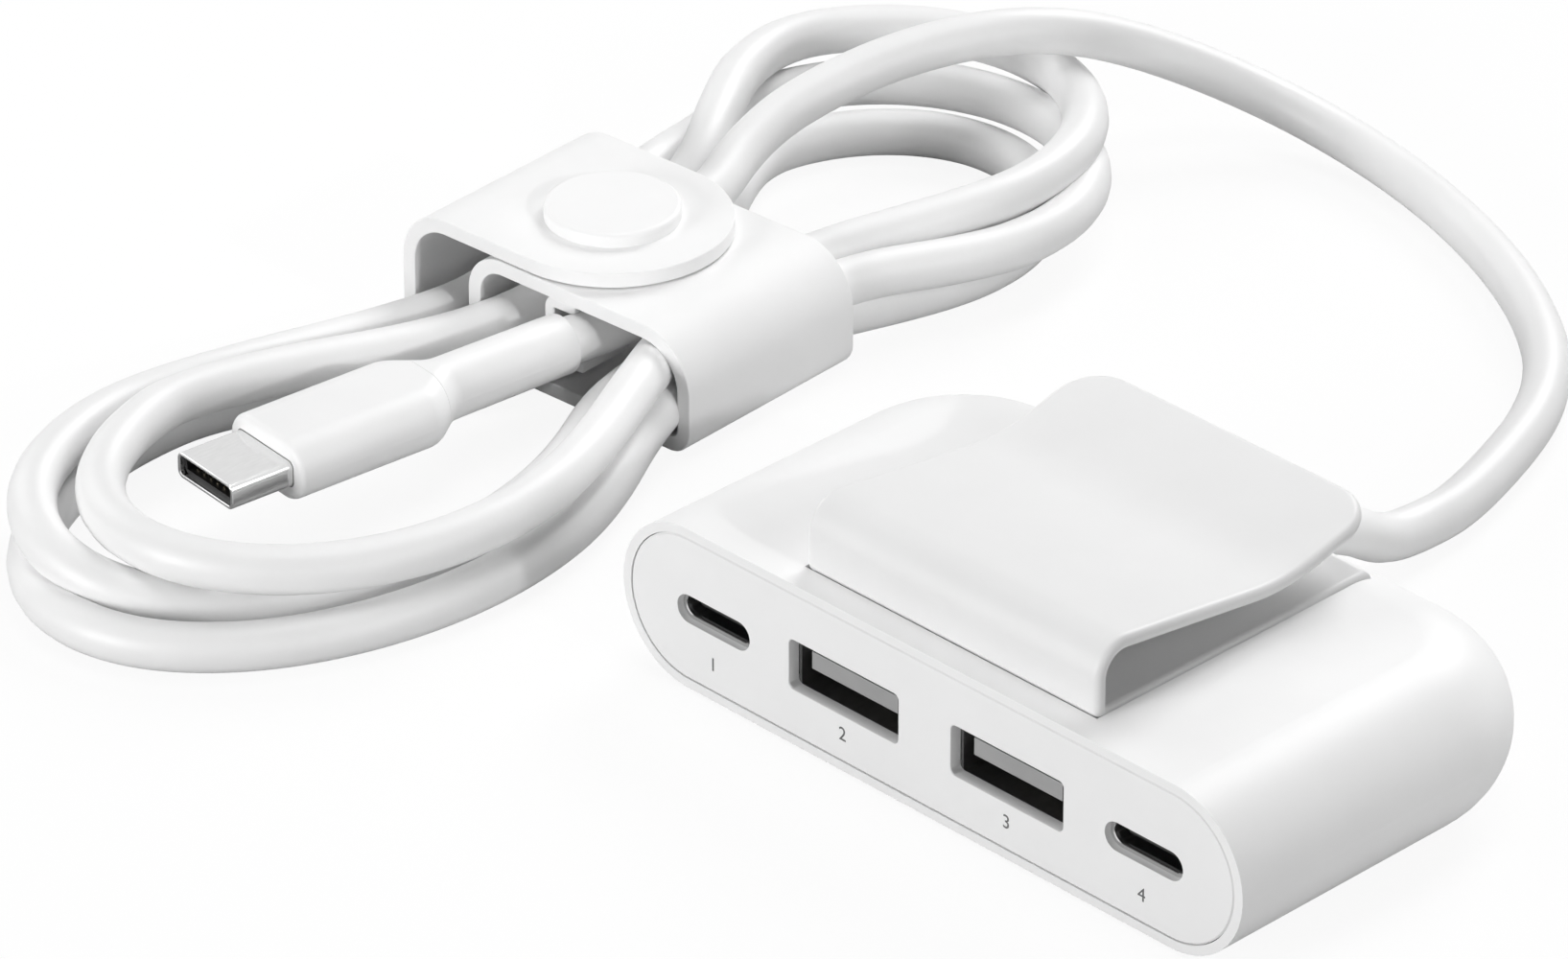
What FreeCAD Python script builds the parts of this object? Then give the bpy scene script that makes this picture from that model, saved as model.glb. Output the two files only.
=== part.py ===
import FreeCAD, Part
import math
import os
import re
import Sketcher

# A four-port USB power strip: a rounded slab with a spring clip on top, and a strapped lead with a USB-C plug.
# X runs along the strip, the ports face -Y, +Z is up, and the origin is under the middle of the slab.

Vector = FreeCAD.Vector
os.makedirs("parts", exist_ok=True)
doc = FreeCAD.newDocument("UsbPowerStrip")

# Driving dimensions, in millimetres and degrees
SIZES = {
    # slab
    "housing_length": 74.0,
    "housing_depth": 42.0,
    "housing_height": 16.0,
    "rear_corner_radius": 14.0,
    "edge_flat": 0.1,
    "housing_wall": 1.8,
    "rear_wall": 4.0,
    "rear_cavity_inset": 1.0,
    # front panel
    "panel_length": 72.0,
    "panel_height": 14.1,
    "panel_thickness": 1.2,
    "panel_gap": 0.08,
    "panel_edge_chamfer": 0.15,
    "skirt_depth": 2.5,
    "skirt_wall": 1.0,
    "skirt_gap": 0.1,
    # USB-A sockets
    "usb_a_pitch": 19.54,
    "usb_a_opening_width": 13.4,
    "usb_a_opening_height": 5.07,
    "usb_a_shell_width": 13.1,
    "usb_a_shell_height": 5.72,
    "usb_a_shell_depth": 14.0,
    "usb_a_insert_depth": 4.6,
    "usb_a_tongue_width": 10.4,
    "usb_a_tongue_thickness": 1.7,
    "usb_a_tongue_rise": 0.35,
    "usb_a_tongue_setback": 0.2,
    "usb_a_contact_width": 1.0,
    "usb_a_contact_pitch": 2.3,
    "usb_a_contact_length": 7.4,
    # USB-C sockets
    "usb_c_pitch": 51.46,
    "usb_c_opening_width": 9.0,
    "usb_c_opening_height": 2.8,
    "usb_c_shell_width": 8.94,
    "usb_c_shell_height": 3.16,
    "usb_c_shell_depth": 7.3,
    "usb_c_insert_depth": 2.4,
    "usb_c_tongue_width": 6.69,
    "usb_c_tongue_thickness": 0.7,
    "usb_c_tongue_setback": 0.6,
    "usb_c_leg_width": 1.2,
    "usb_c_leg_setback": 1.6,
    "socket_shell_wall": 0.3,
    "socket_fit": 0.05,
    "contact_thickness": 0.15,
    # circuit board and what it carries
    "board_length": 62.0,
    "board_thickness": 1.2,
    "board_front_gap": 0.3,
    "board_rear_gap": 0.6,
    "board_corner_radius": 2.0,
    "rail_pitch": 44.0,
    "rail_width": 2.0,
    "rail_length": 12.0,
    "chip_pitch": 36.0,
    "chip_side": 5.0,
    "chip_height": 0.9,
    "chip_gap": 3.8,
    "inductor_pitch": 18.0,
    "inductor_side": 7.0,
    "inductor_height": 4.0,
    "inductor_corner_radius": 1.2,
    "inductor_gap": 2.8,
    "capacitor_pitch": 52.0,
    "capacitor_diameter": 5.0,
    "capacitor_height": 5.4,
    "capacitor_gap": 3.5,
    # spring clip
    "clip_width": 34.7,
    "clip_front_setback": 2.9,
    "clip_wall": 1.4,
    "clip_base_length": 33.6,
    "clip_base_thickness": 1.2,
    "clip_base_proud": 0.35,
    "clip_seat_gap": 0.05,
    "clip_bend_height": 7.05,
    "clip_pinch_run": 23.2,
    "clip_pinch_height": 3.95,
    "clip_tail_run": 33.8,
    "clip_tail_height": 6.8,
    "clip_bend_radius": 3.4,
    "clip_pinch_radius": 9.0,
    "clip_tail_radius": 7.0,
    "clip_edge_chamfer": 0.3,
    "clip_peg_pitch": 20.0,
    "clip_peg_diameter": 3.0,
    "clip_peg_head_diameter": 4.6,
    "clip_peg_head_height": 0.6,
    "clip_peg_gap": 0.05,
    # lead and gland
    "cord_diameter": 4.5,
    "gland_neck_diameter": 7.0,
    "gland_tip_diameter": 5.7,
    "gland_length": 4.0,
    "gland_flange_diameter": 9.4,
    "gland_flange_thickness": 1.5,
    "gland_bore": 3.4,
    "gland_gap": 0.05,
    "core_diameter": 1.0,
    "core_pitch": 2.4,
    "core_landing": 2.0,
    "core_gap": 0.25,
    # strap round the hank
    "strap_width": 22.5,
    "strap_thickness": 1.5,
    "strap_span": 36.2,
    "strap_height": 11.9,
    "strap_lap_gap": 0.15,
    "strap_near_radius": 5.0,
    "strap_far_radius": 3.4,
    "strap_end_flat": 0.1,
    "tab_reach": 28.0,
    "curl_reach": 27.9,
    "curl_drop": 5.9,
    "curl_radius": 3.0,
    "grip_place": 4.8,
    "grip_rise": 7.4,
    "grip_wall": 1.1,
    "grip_length": 6.0,
    "grip_mouth": 3.0,
    "button_diameter": 12.8,
    "button_thickness": 1.3,
    "button_edge_radius": 0.45,
    "button_neck_diameter": 5.0,
    "button_foot_diameter": 8.0,
    "button_foot_thickness": 0.9,
    "button_gap": 0.05,
    # plug on the lead
    "plug_relief_length": 14.2,
    "plug_relief_start": 5.1,
    "plug_relief_end": 5.9,
    "plug_relief_rim": 0.4,
    "plug_body_length": 19.2,
    "plug_body_width": 11.1,
    "plug_body_height": 6.0,
    "plug_neck_flat": 0.1,
    "plug_shoulder_length": 5.2,
    "plug_front_radius": 0.5,
    "plug_shell_length": 6.65,
    "plug_shell_width": 8.34,
    "plug_shell_height": 2.56,
    "plug_shell_wall": 0.3,
    "plug_insert_setback": 0.5,
    "plug_slot_width": 6.8,
    "plug_slot_height": 0.95,
    "plug_slot_depth": 4.8,
    "plug_contact_width": 0.3,
    "plug_contact_pitch": 1.0,
    "plug_contact_length": 3.0,
    "plug_fit": 0.02,
    # hank of cord
    "hank_left_height": 9.8,
    "hank_right_height": 10.0,
    "hank_gap": 0.3,
    "hank_overhang": 1.5,
}

# Places on the floor of the loose pieces, chosen from the photograph
STRAP_PLACE = Vector(-76.5, 16.5, 0.0)
STRAP_TURN = 4.0
PLUG_PLACE = Vector(-71.4, 4.0, 7.5)
PLUG_YAW = -95.6
PLUG_PITCH = 0.0
PLUG_ROLL = 0.0

# Shoulder of the plug: share of its length, and share of its growth from the neck to the full body
PLUG_SHOULDER = [(0.0, 0.0), (0.3, 0.17), (0.65, 0.74), (1.0, 1.0)]

# Route of the lead from the gland to the strap
LEAD_ROUTE = [
    (0.0, 25.0, 8.0),
    (0.0, 32.5, 8.0),
    (-0.4, 41.0, 3.8),
    (-2.4, 53.0, 2.25),
    (-8.8, 68.6, 2.25),
    (-22.8, 80.4, 2.25),
    (-40.8, 88.8, 2.25),
    (-60.6, 91.6, 3.3),
    (-72.0, 81.2, 10.6),
    (-76.0, 67.2, 14.9),
    (-79.3, 53.0, 12.9),
    (-80.0, 39.5, 9.4),
    (-80.37, 29.5, 8.1),
]

# Loops of the hank as ellipses: middle, half width along X, half length along Y
LEFT_LOOP = ((-72.75, -22.0), 21.85, 34.3)
LEFT_HOLE = ((-70.75, -22.0), 16.2, 23.0)
RIGHT_LOOP = ((-78.3, 51.0), 22.3, 24.2)
RIGHT_HOLE = ((-76.3, 48.0), 13.9, 15.3)

sheet = doc.addObject("Spreadsheet::Sheet", "Sizes")
for row, (alias, number) in enumerate(SIZES.items(), start=1):
    sheet.set(f"A{row}", alias)
    sheet.set(f"B{row}", str(number))
    sheet.setAlias(f"B{row}", alias)
doc.recompute()

nodes = []


def rule(text):
    """Expression text with each size read from its cell of the sheet."""
    return re.sub(r"[a-z_]+", lambda word: "Sizes." + word.group() if word.group() in SIZES else word.group(), text)


def value(text):
    return float(sheet.evalExpression(rule(text)))


def bind(thing, rules):
    for path, text in rules.items():
        thing.setExpression(path, rule(text))


def new_body(label, place=None):
    body = doc.addObject("PartDesign::Body", label)
    body.Label = label
    if place:
        bind(body, {f"Placement.Base.{axis}": text for axis, text in place.items()})
    nodes.append(body)
    return body


def new_sketch(body, role, lift="0"):
    """Sketch on one of the body's own planes, lifted along that plane's normal."""
    sketch = body.newObject("Sketcher::SketchObject", body.Name + "_sketch")
    plane = next(feature for feature in body.Origin.OriginFeatures if feature.Role == role)
    sketch.AttachmentSupport = (plane, [""])
    sketch.MapMode = "FlatFace"
    bind(sketch, {"AttachmentOffset.Base.z": lift})
    return sketch


def pin(sketch, kind, geometry, point, text):
    """Dimension from the sketch's origin to a point, driven by the sheet."""
    spot = sketch.addConstraint(Sketcher.Constraint(kind, -1, 1, geometry, point, value(text)))
    sketch.setExpression(f"Constraints[{spot}]", rule(text))


def polygon(sketch, corners):
    """Closed outline of straight edges through corners given as pairs of expressions."""
    spots = [Vector(value(across), value(up), 0) for across, up in corners]
    first = sketch.GeometryCount
    count = len(corners)
    for index, spot in enumerate(spots):
        sketch.addGeometry(Part.LineSegment(spot, spots[(index + 1) % count]))
    for index in range(count):
        follower = first + (index + 1) % count
        sketch.addConstraint(Sketcher.Constraint("Coincident", first + index, 2, follower, 1))
    for index, (across, up) in enumerate(corners):
        pin(sketch, "DistanceX", first + index, 1, across)
        pin(sketch, "DistanceY", first + index, 1, up)
    return sketch


def rectangle(sketch, left, low, right, high):
    return polygon(sketch, [(left, low), (right, low), (right, high), (left, high)])


def slot(sketch, across, up, length, height):
    """Outline with round ends about a centre."""
    radius = value(height) / 2
    reach = value(length) / 2 - radius
    middle = Vector(value(across), value(up), 0)
    right = middle + Vector(reach, 0, 0)
    left = middle - Vector(reach, 0, 0)
    rise = Vector(0, radius, 0)
    normal = Vector(0, 0, 1)
    first = sketch.GeometryCount
    sketch.addGeometry(Part.LineSegment(left + rise, right + rise))
    sketch.addGeometry(Part.ArcOfCircle(Part.Circle(right, normal, radius), -math.pi / 2, math.pi / 2))
    sketch.addGeometry(Part.LineSegment(right - rise, left - rise))
    sketch.addGeometry(Part.ArcOfCircle(Part.Circle(left, normal, radius), math.pi / 2, 3 * math.pi / 2))
    top, right_arc, bottom, left_arc = range(first, first + 4)
    sketch.addConstraint(Sketcher.Constraint("Tangent", top, 2, right_arc, 2))
    sketch.addConstraint(Sketcher.Constraint("Tangent", right_arc, 1, bottom, 1))
    sketch.addConstraint(Sketcher.Constraint("Tangent", bottom, 2, left_arc, 2))
    sketch.addConstraint(Sketcher.Constraint("Tangent", left_arc, 1, top, 1))
    sketch.addConstraint(Sketcher.Constraint("Equal", right_arc, left_arc))
    sketch.addConstraint(Sketcher.Constraint("Horizontal", top))
    spot = sketch.addConstraint(Sketcher.Constraint("Radius", right_arc, radius))
    sketch.setExpression(f"Constraints[{spot}]", rule(f"({height}) / 2"))
    pin(sketch, "DistanceX", right_arc, 3, f"({across}) + (({length}) - ({height})) / 2")
    pin(sketch, "DistanceX", left_arc, 3, f"({across}) - (({length}) - ({height})) / 2")
    pin(sketch, "DistanceY", right_arc, 3, up)
    return sketch


def circle(sketch, across, up, diameter):
    middle = Vector(value(across), value(up), 0)
    index = sketch.addGeometry(Part.Circle(middle, Vector(0, 0, 1), value(diameter) / 2))
    spot = sketch.addConstraint(Sketcher.Constraint("Diameter", index, value(diameter)))
    sketch.setExpression(f"Constraints[{spot}]", rule(diameter))
    pin(sketch, "DistanceX", index, 3, across)
    pin(sketch, "DistanceY", index, 3, up)
    return sketch


def corner(sketch, across, up, radius, sign):
    """Outline of what is cut away to round one corner, on the side given by the sign."""
    size = value(radius)
    tip = Vector(value(across), value(up), 0)
    middle = tip - Vector(sign * size, size, 0)
    side_end = tip - Vector(0, size, 0)
    top_end = tip - Vector(sign * size, 0, 0)
    start = 0 if sign > 0 else math.pi / 2
    first = sketch.GeometryCount
    sketch.addGeometry(Part.LineSegment(side_end, tip))
    sketch.addGeometry(Part.LineSegment(tip, top_end))
    sketch.addGeometry(Part.ArcOfCircle(Part.Circle(middle, Vector(0, 0, 1), size), start, start + math.pi / 2))
    side, end, arc = range(first, first + 3)
    at_side, at_end = (1, 2) if sign > 0 else (2, 1)
    sketch.addConstraint(Sketcher.Constraint("Coincident", side, 2, end, 1))
    sketch.addConstraint(Sketcher.Constraint("Tangent", side, 1, arc, at_side))
    sketch.addConstraint(Sketcher.Constraint("Tangent", end, 2, arc, at_end))
    sketch.addConstraint(Sketcher.Constraint("Vertical", side))
    sketch.addConstraint(Sketcher.Constraint("Horizontal", end))
    spot = sketch.addConstraint(Sketcher.Constraint("Radius", arc, size))
    sketch.setExpression(f"Constraints[{spot}]", rule(radius))
    pin(sketch, "DistanceX", end, 1, across)
    pin(sketch, "DistanceY", end, 1, up)
    return sketch


def pad(body, sketch, length, both=False, flip=False):
    feature = body.newObject("PartDesign::Pad", body.Name + "_pad")
    feature.Profile = sketch
    feature.SideType = "Symmetric" if both else "One side"
    feature.Reversed = flip
    bind(feature, {"Length": length})
    doc.recompute()
    return feature


def pocket(body, sketch, length, both=False, flip=False):
    before = body.Shape.Volume
    feature = body.newObject("PartDesign::Pocket", body.Name + "_pocket")
    feature.Profile = sketch
    feature.SideType = "Symmetric" if both else "One side"
    feature.Reversed = flip
    bind(feature, {"Length": length})
    doc.recompute()
    if body.Shape.Volume >= before:
        raise ValueError(f"a pocket of {body.Label} cuts nothing")
    return feature


def fillet(body, radius, chosen):
    """Rounds the edges of the body's last feature for which chosen is true."""
    base = body.Tip
    names = [f"Edge{index}" for index, edge in enumerate(base.Shape.Edges, start=1) if chosen(edge)]
    feature = body.newObject("PartDesign::Fillet", body.Name + "_fillet")
    feature.Base = (base, names)
    bind(feature, {"Radius": radius})
    doc.recompute()
    return feature


def chamfer(body, size, chosen):
    """Breaks the edges of the body's last feature for which chosen is true."""
    base = body.Tip
    names = [f"Edge{index}" for index, edge in enumerate(base.Shape.Edges, start=1) if chosen(edge)]
    feature = body.newObject("PartDesign::Chamfer", body.Name + "_chamfer")
    feature.Base = (base, names)
    bind(feature, {"Size": size})
    doc.recompute()
    return feature


def loft(body, sections):
    """Smooth solid through sections in their order."""
    feature = body.newObject("PartDesign::AdditiveLoft", body.Name + "_loft")
    feature.Profile = sections[0]
    feature.Sections = sections[1:]
    doc.recompute()
    return feature


def revolve(body, sketch):
    feature = body.newObject("PartDesign::Revolution", body.Name + "_turn")
    feature.Profile = sketch
    feature.ReferenceAxis = (sketch, ["H_Axis"])
    feature.Angle = 360
    doc.recompute()
    return feature


def block(label, size, corner):
    """Box with its three sizes and its lowest corner given as expressions."""
    box = doc.addObject("Part::Box", label)
    bind(box, dict(zip(("Length", "Width", "Height"), size)))
    bind(box, {f"Placement.Base.{axis}": text for axis, text in zip("xyz", corner)})
    return box


def group(label, members):
    whole = doc.addObject("Part::Compound", label)
    whole.Label = label
    whole.Links = members
    nodes.append(whole)
    return whole


def solid(label, shape):
    thing = doc.addObject("Part::Feature", label)
    thing.Label = label
    thing.Shape = shape
    nodes.append(thing)
    return thing


def near(first, second):
    return abs(first - second) < 1e-4


def is_upright(edge):
    return edge.BoundBox.ZLength > 1e-3 and edge.BoundBox.XLength < 1e-3 and edge.BoundBox.YLength < 1e-3


def at_x(edge, place):
    return near(edge.BoundBox.XMin, place) and near(edge.BoundBox.XMax, place)


def at_y(edge, place):
    return near(edge.BoundBox.YMin, place) and near(edge.BoundBox.YMax, place)


def at_z(edge, place):
    return near(edge.BoundBox.ZMin, place) and near(edge.BoundBox.ZMax, place)


# Expressions that several pieces share
FRONT = "-housing_depth / 2"
REAR = "housing_depth / 2"
MIDDLE = "housing_height / 2"
PANEL_BACK = f"({FRONT} + panel_thickness)"
BOARD_TOP = f"({MIDDLE} - usb_a_shell_height / 2)"
BOARD_BOTTOM = f"({BOARD_TOP} - board_thickness)"
BOARD_FRONT = f"({PANEL_BACK} + skirt_depth + board_front_gap)"
BOARD_BACK = f"({REAR} - rear_corner_radius - board_rear_gap)"
SOCKET_BACK = f"({PANEL_BACK} + usb_a_shell_depth)"
CLIP_FRONT = f"({FRONT} + clip_front_setback)"
CLIP_FLOOR = "(housing_height + clip_base_proud)"
SEAT_DEPTH = "(clip_base_thickness - clip_base_proud)"
SIDES = (("left", "-1"), ("right", "1"))


def make_housing():
    """Slab with fully rounded sides and rear, open at the front."""
    body = new_body("housing_shell")
    half_length, half_depth = value("housing_length / 2"), value("housing_depth / 2")
    plan = new_sketch(body, "XY_Plane")
    rectangle(plan, "-housing_length / 2", FRONT, "housing_length / 2", REAR)
    pad(body, plan, "housing_height")
    fillet(body, "rear_corner_radius", lambda edge: is_upright(edge) and near(edge.BoundBox.YMax, half_depth))
    fillet(
        body,
        "(housing_height - edge_flat) / 2",
        lambda edge: edge.BoundBox.ZLength < 1e-3 and edge.BoundBox.YMax > -half_depth + 1e-3,
    )
    wide = new_sketch(body, "XZ_Plane", REAR)
    slot(wide, "0", MIDDLE, "housing_length - 2 * housing_wall", "housing_height - 2 * housing_wall")
    pocket(body, wide, "housing_depth - rear_corner_radius")
    deep = new_sketch(body, "XZ_Plane", REAR)
    slot(
        deep,
        "0",
        MIDDLE,
        "housing_length - 2 * rear_corner_radius + 2 * housing_wall",
        "housing_height - 2 * housing_wall - 2 * rear_cavity_inset",
    )
    pocket(body, deep, "housing_depth - rear_wall")
    recess = new_sketch(body, "XZ_Plane", REAR)
    slot(recess, "0", MIDDLE, "panel_length + 2 * panel_gap", "panel_height + 2 * panel_gap")
    pocket(body, recess, "panel_thickness")
    seat = new_sketch(body, "XY_Plane", "housing_height")
    rectangle(
        seat,
        "-clip_width / 2 - clip_seat_gap",
        f"{CLIP_FRONT} - clip_seat_gap",
        "clip_width / 2 + clip_seat_gap",
        f"{CLIP_FRONT} + clip_base_length + clip_seat_gap",
    )
    pocket(body, seat, SEAT_DEPTH)
    holes = new_sketch(body, "XY_Plane", "housing_height")
    for _, sign in SIDES:
        circle(holes, f"{sign} * clip_peg_pitch / 2", "0", "clip_peg_diameter + 2 * clip_peg_gap")
    pocket(body, holes, "housing_wall + clip_peg_head_height")
    exit_hole = new_sketch(body, "XZ_Plane", FRONT)
    circle(exit_hole, "0", MIDDLE, "gland_neck_diameter + 2 * gland_gap")
    pocket(body, exit_hole, "rear_wall + gland_flange_thickness", flip=True)
    rails = new_sketch(body, "XY_Plane", "housing_wall / 2")
    for _, sign in SIDES:
        rectangle(
            rails,
            f"{sign} * rail_pitch / 2 - rail_width / 2",
            f"{BOARD_BACK} - rail_length",
            f"{sign} * rail_pitch / 2 + rail_width / 2",
            BOARD_BACK,
        )
    pad(body, rails, f"{BOARD_BOTTOM} - housing_wall / 2")


def make_panel():
    """Face plate with four port openings and a skirt that slides into the slab."""
    body = new_body("front_panel")
    face = new_sketch(body, "XZ_Plane", REAR)
    slot(face, "0", MIDDLE, "panel_length", "panel_height")
    pad(body, face, "panel_thickness", flip=True)
    skirt = new_sketch(body, "XZ_Plane", f"-{PANEL_BACK}")
    outer_gap = "2 * (housing_wall + skirt_gap)"
    inner_gap = "2 * (housing_wall + skirt_gap + skirt_wall)"
    slot(skirt, "0", MIDDLE, f"housing_length - {outer_gap}", f"housing_height - {outer_gap}")
    slot(skirt, "0", MIDDLE, f"housing_length - {inner_gap}", f"housing_height - {inner_gap}")
    pad(body, skirt, "skirt_depth", flip=True)
    ports = new_sketch(body, "XZ_Plane", REAR)
    for _, sign in SIDES:
        rectangle(
            ports,
            f"{sign} * usb_a_pitch / 2 - usb_a_opening_width / 2",
            f"{MIDDLE} - usb_a_opening_height / 2",
            f"{sign} * usb_a_pitch / 2 + usb_a_opening_width / 2",
            f"{MIDDLE} + usb_a_opening_height / 2",
        )
        slot(ports, f"{sign} * usb_c_pitch / 2", MIDDLE, "usb_c_opening_width", "usb_c_opening_height")
    pocket(body, ports, "panel_thickness")
    front = value(FRONT)
    reach = value("panel_height / 2")
    middle = value(MIDDLE)
    chamfer(
        body,
        "panel_edge_chamfer",
        lambda edge: at_y(edge, front) and max(middle - edge.BoundBox.ZMin, edge.BoundBox.ZMax - middle) > reach - 1e-3,
    )


def make_board():
    """Circuit board on the slab's two rails, with its rear corners rounded."""
    body = new_body("circuit_board")
    plan = new_sketch(body, "XY_Plane", BOARD_BOTTOM)
    rectangle(plan, "-board_length / 2", BOARD_FRONT, "board_length / 2", BOARD_BACK)
    pad(body, plan, "board_thickness")
    back = value(BOARD_BACK)
    fillet(body, "board_corner_radius", lambda edge: is_upright(edge) and near(edge.BoundBox.YMax, back))


def make_usb_a_socket(side, sign):
    """Metal shell, plastic insert with its tongue, and four contact strips under the tongue."""
    place = {"x": f"{sign} * usb_a_pitch / 2", "y": PANEL_BACK, "z": MIDDLE}
    shell = new_body(f"usb_a_shell_{side}", place)
    wall = new_sketch(shell, "XZ_Plane")
    for trim in ("0", "socket_shell_wall"):
        half_width = f"(usb_a_shell_width / 2 - {trim})"
        half_height = f"(usb_a_shell_height / 2 - {trim})"
        rectangle(wall, f"-{half_width}", f"-{half_height}", half_width, half_height)
    pad(shell, wall, "usb_a_shell_depth", flip=True)

    seated = dict(place, z=f"{MIDDLE} - socket_fit")
    insert = new_body(f"usb_a_insert_{side}", seated)
    half_width = "(usb_a_shell_width / 2 - socket_shell_wall - socket_fit)"
    half_height = "(usb_a_shell_height / 2 - socket_shell_wall - socket_fit)"
    rear = new_sketch(insert, "XZ_Plane", "-usb_a_shell_depth")
    rectangle(rear, f"-{half_width}", f"-{half_height}", half_width, half_height)
    pad(insert, rear, "usb_a_insert_depth")
    tongue = new_sketch(insert, "XZ_Plane", "-usb_a_shell_depth + usb_a_insert_depth / 2")
    tongue_low = "(usb_a_tongue_rise - usb_a_tongue_thickness / 2)"
    tongue_high = "(usb_a_tongue_rise + usb_a_tongue_thickness / 2)"
    rectangle(tongue, "-usb_a_tongue_width / 2", tongue_low, "usb_a_tongue_width / 2", tongue_high)
    pad(insert, tongue, "usb_a_shell_depth - usb_a_insert_depth / 2 - usb_a_tongue_setback")

    strips = []
    for index in range(4):
        across = f"{sign} * usb_a_pitch / 2 + {index - 1.5} * usb_a_contact_pitch - usb_a_contact_width / 2"
        corner = (
            across,
            f"{PANEL_BACK} + usb_a_tongue_setback + usb_a_contact_width",
            f"{MIDDLE} - socket_fit + {tongue_low} - contact_thickness",
        )
        size = ("usb_a_contact_width", "usb_a_contact_length", "contact_thickness")
        strips.append(block(f"usb_a_strip_{side}_{index}", size, corner))
    group(f"usb_a_contacts_{side}", strips)


def make_usb_c_socket(side, sign):
    """Round-ended metal shell on two legs, with an insert whose thin tongue stands in the middle."""
    place = {"x": f"{sign} * usb_c_pitch / 2", "y": PANEL_BACK, "z": MIDDLE}
    shell = new_body(f"usb_c_shell_{side}", place)
    wall = new_sketch(shell, "XZ_Plane")
    slot(wall, "0", "0", "usb_c_shell_width", "usb_c_shell_height")
    bore = "2 * socket_shell_wall"
    slot(wall, "0", "0", f"usb_c_shell_width - {bore}", f"usb_c_shell_height - {bore}")
    pad(shell, wall, "usb_c_shell_depth", flip=True)
    legs = new_sketch(shell, "XY_Plane", "socket_shell_wall - usb_c_shell_height / 2")
    for _, leg_sign in SIDES:
        centre = f"{leg_sign} * (usb_c_shell_width - usb_c_shell_height) / 2"
        rectangle(
            legs,
            f"{centre} - usb_c_leg_width / 2",
            f"skirt_depth + usb_c_leg_setback",
            f"{centre} + usb_c_leg_width / 2",
            "usb_c_shell_depth",
        )
    pad(shell, legs, "usb_a_shell_height / 2 - usb_c_shell_height / 2 + socket_shell_wall", flip=True)

    seated = dict(place, z=f"{MIDDLE} - socket_fit")
    insert = new_body(f"usb_c_insert_{side}", seated)
    rear = new_sketch(insert, "XZ_Plane", "-usb_c_shell_depth")
    trim = "2 * (socket_shell_wall + socket_fit)"
    slot(rear, "0", "0", f"usb_c_shell_width - {trim}", f"usb_c_shell_height - {trim}")
    pad(insert, rear, "usb_c_insert_depth")
    tongue = new_sketch(insert, "XZ_Plane", "-usb_c_shell_depth + usb_c_insert_depth / 2")
    rectangle(
        tongue,
        "-usb_c_tongue_width / 2",
        "-usb_c_tongue_thickness / 2",
        "usb_c_tongue_width / 2",
        "usb_c_tongue_thickness / 2",
    )
    pad(insert, tongue, "usb_c_shell_depth - usb_c_insert_depth / 2 - usb_c_tongue_setback")


def make_board_pieces(side, sign):
    """One converter's chip and its choke on the board."""
    chip = block(
        f"converter_chip_{side}",
        ("chip_side", "chip_side", "chip_height"),
        (f"{sign} * chip_pitch / 2 - chip_side / 2", f"{SOCKET_BACK} + chip_gap", BOARD_TOP),
    )
    nodes.append(chip)
    place = {"x": f"{sign} * inductor_pitch / 2", "y": f"{SOCKET_BACK} + inductor_gap + inductor_side / 2", "z": BOARD_TOP}
    choke = new_body(f"choke_{side}", place)
    plan = new_sketch(choke, "XY_Plane")
    rectangle(plan, "-inductor_side / 2", "-inductor_side / 2", "inductor_side / 2", "inductor_side / 2")
    pad(choke, plan, "inductor_height")
    fillet(choke, "inductor_corner_radius", is_upright)


def make_capacitors():
    """Two can capacitors behind the USB-C sockets."""
    cans = []
    for side, sign in SIDES:
        can = doc.addObject("Part::Cylinder", f"capacitor_can_{side}")
        bind(can, {"Radius": "capacitor_diameter / 2", "Height": "capacitor_height"})
        row = f"{PANEL_BACK} + usb_c_shell_depth + capacitor_gap + capacitor_diameter / 2"
        place = {"x": f"{sign} * capacitor_pitch / 2", "y": row, "z": BOARD_TOP}
        bind(can, {f"Placement.Base.{axis}": text for axis, text in place.items()})
        cans.append(can)
    group("capacitors", cans)


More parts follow.
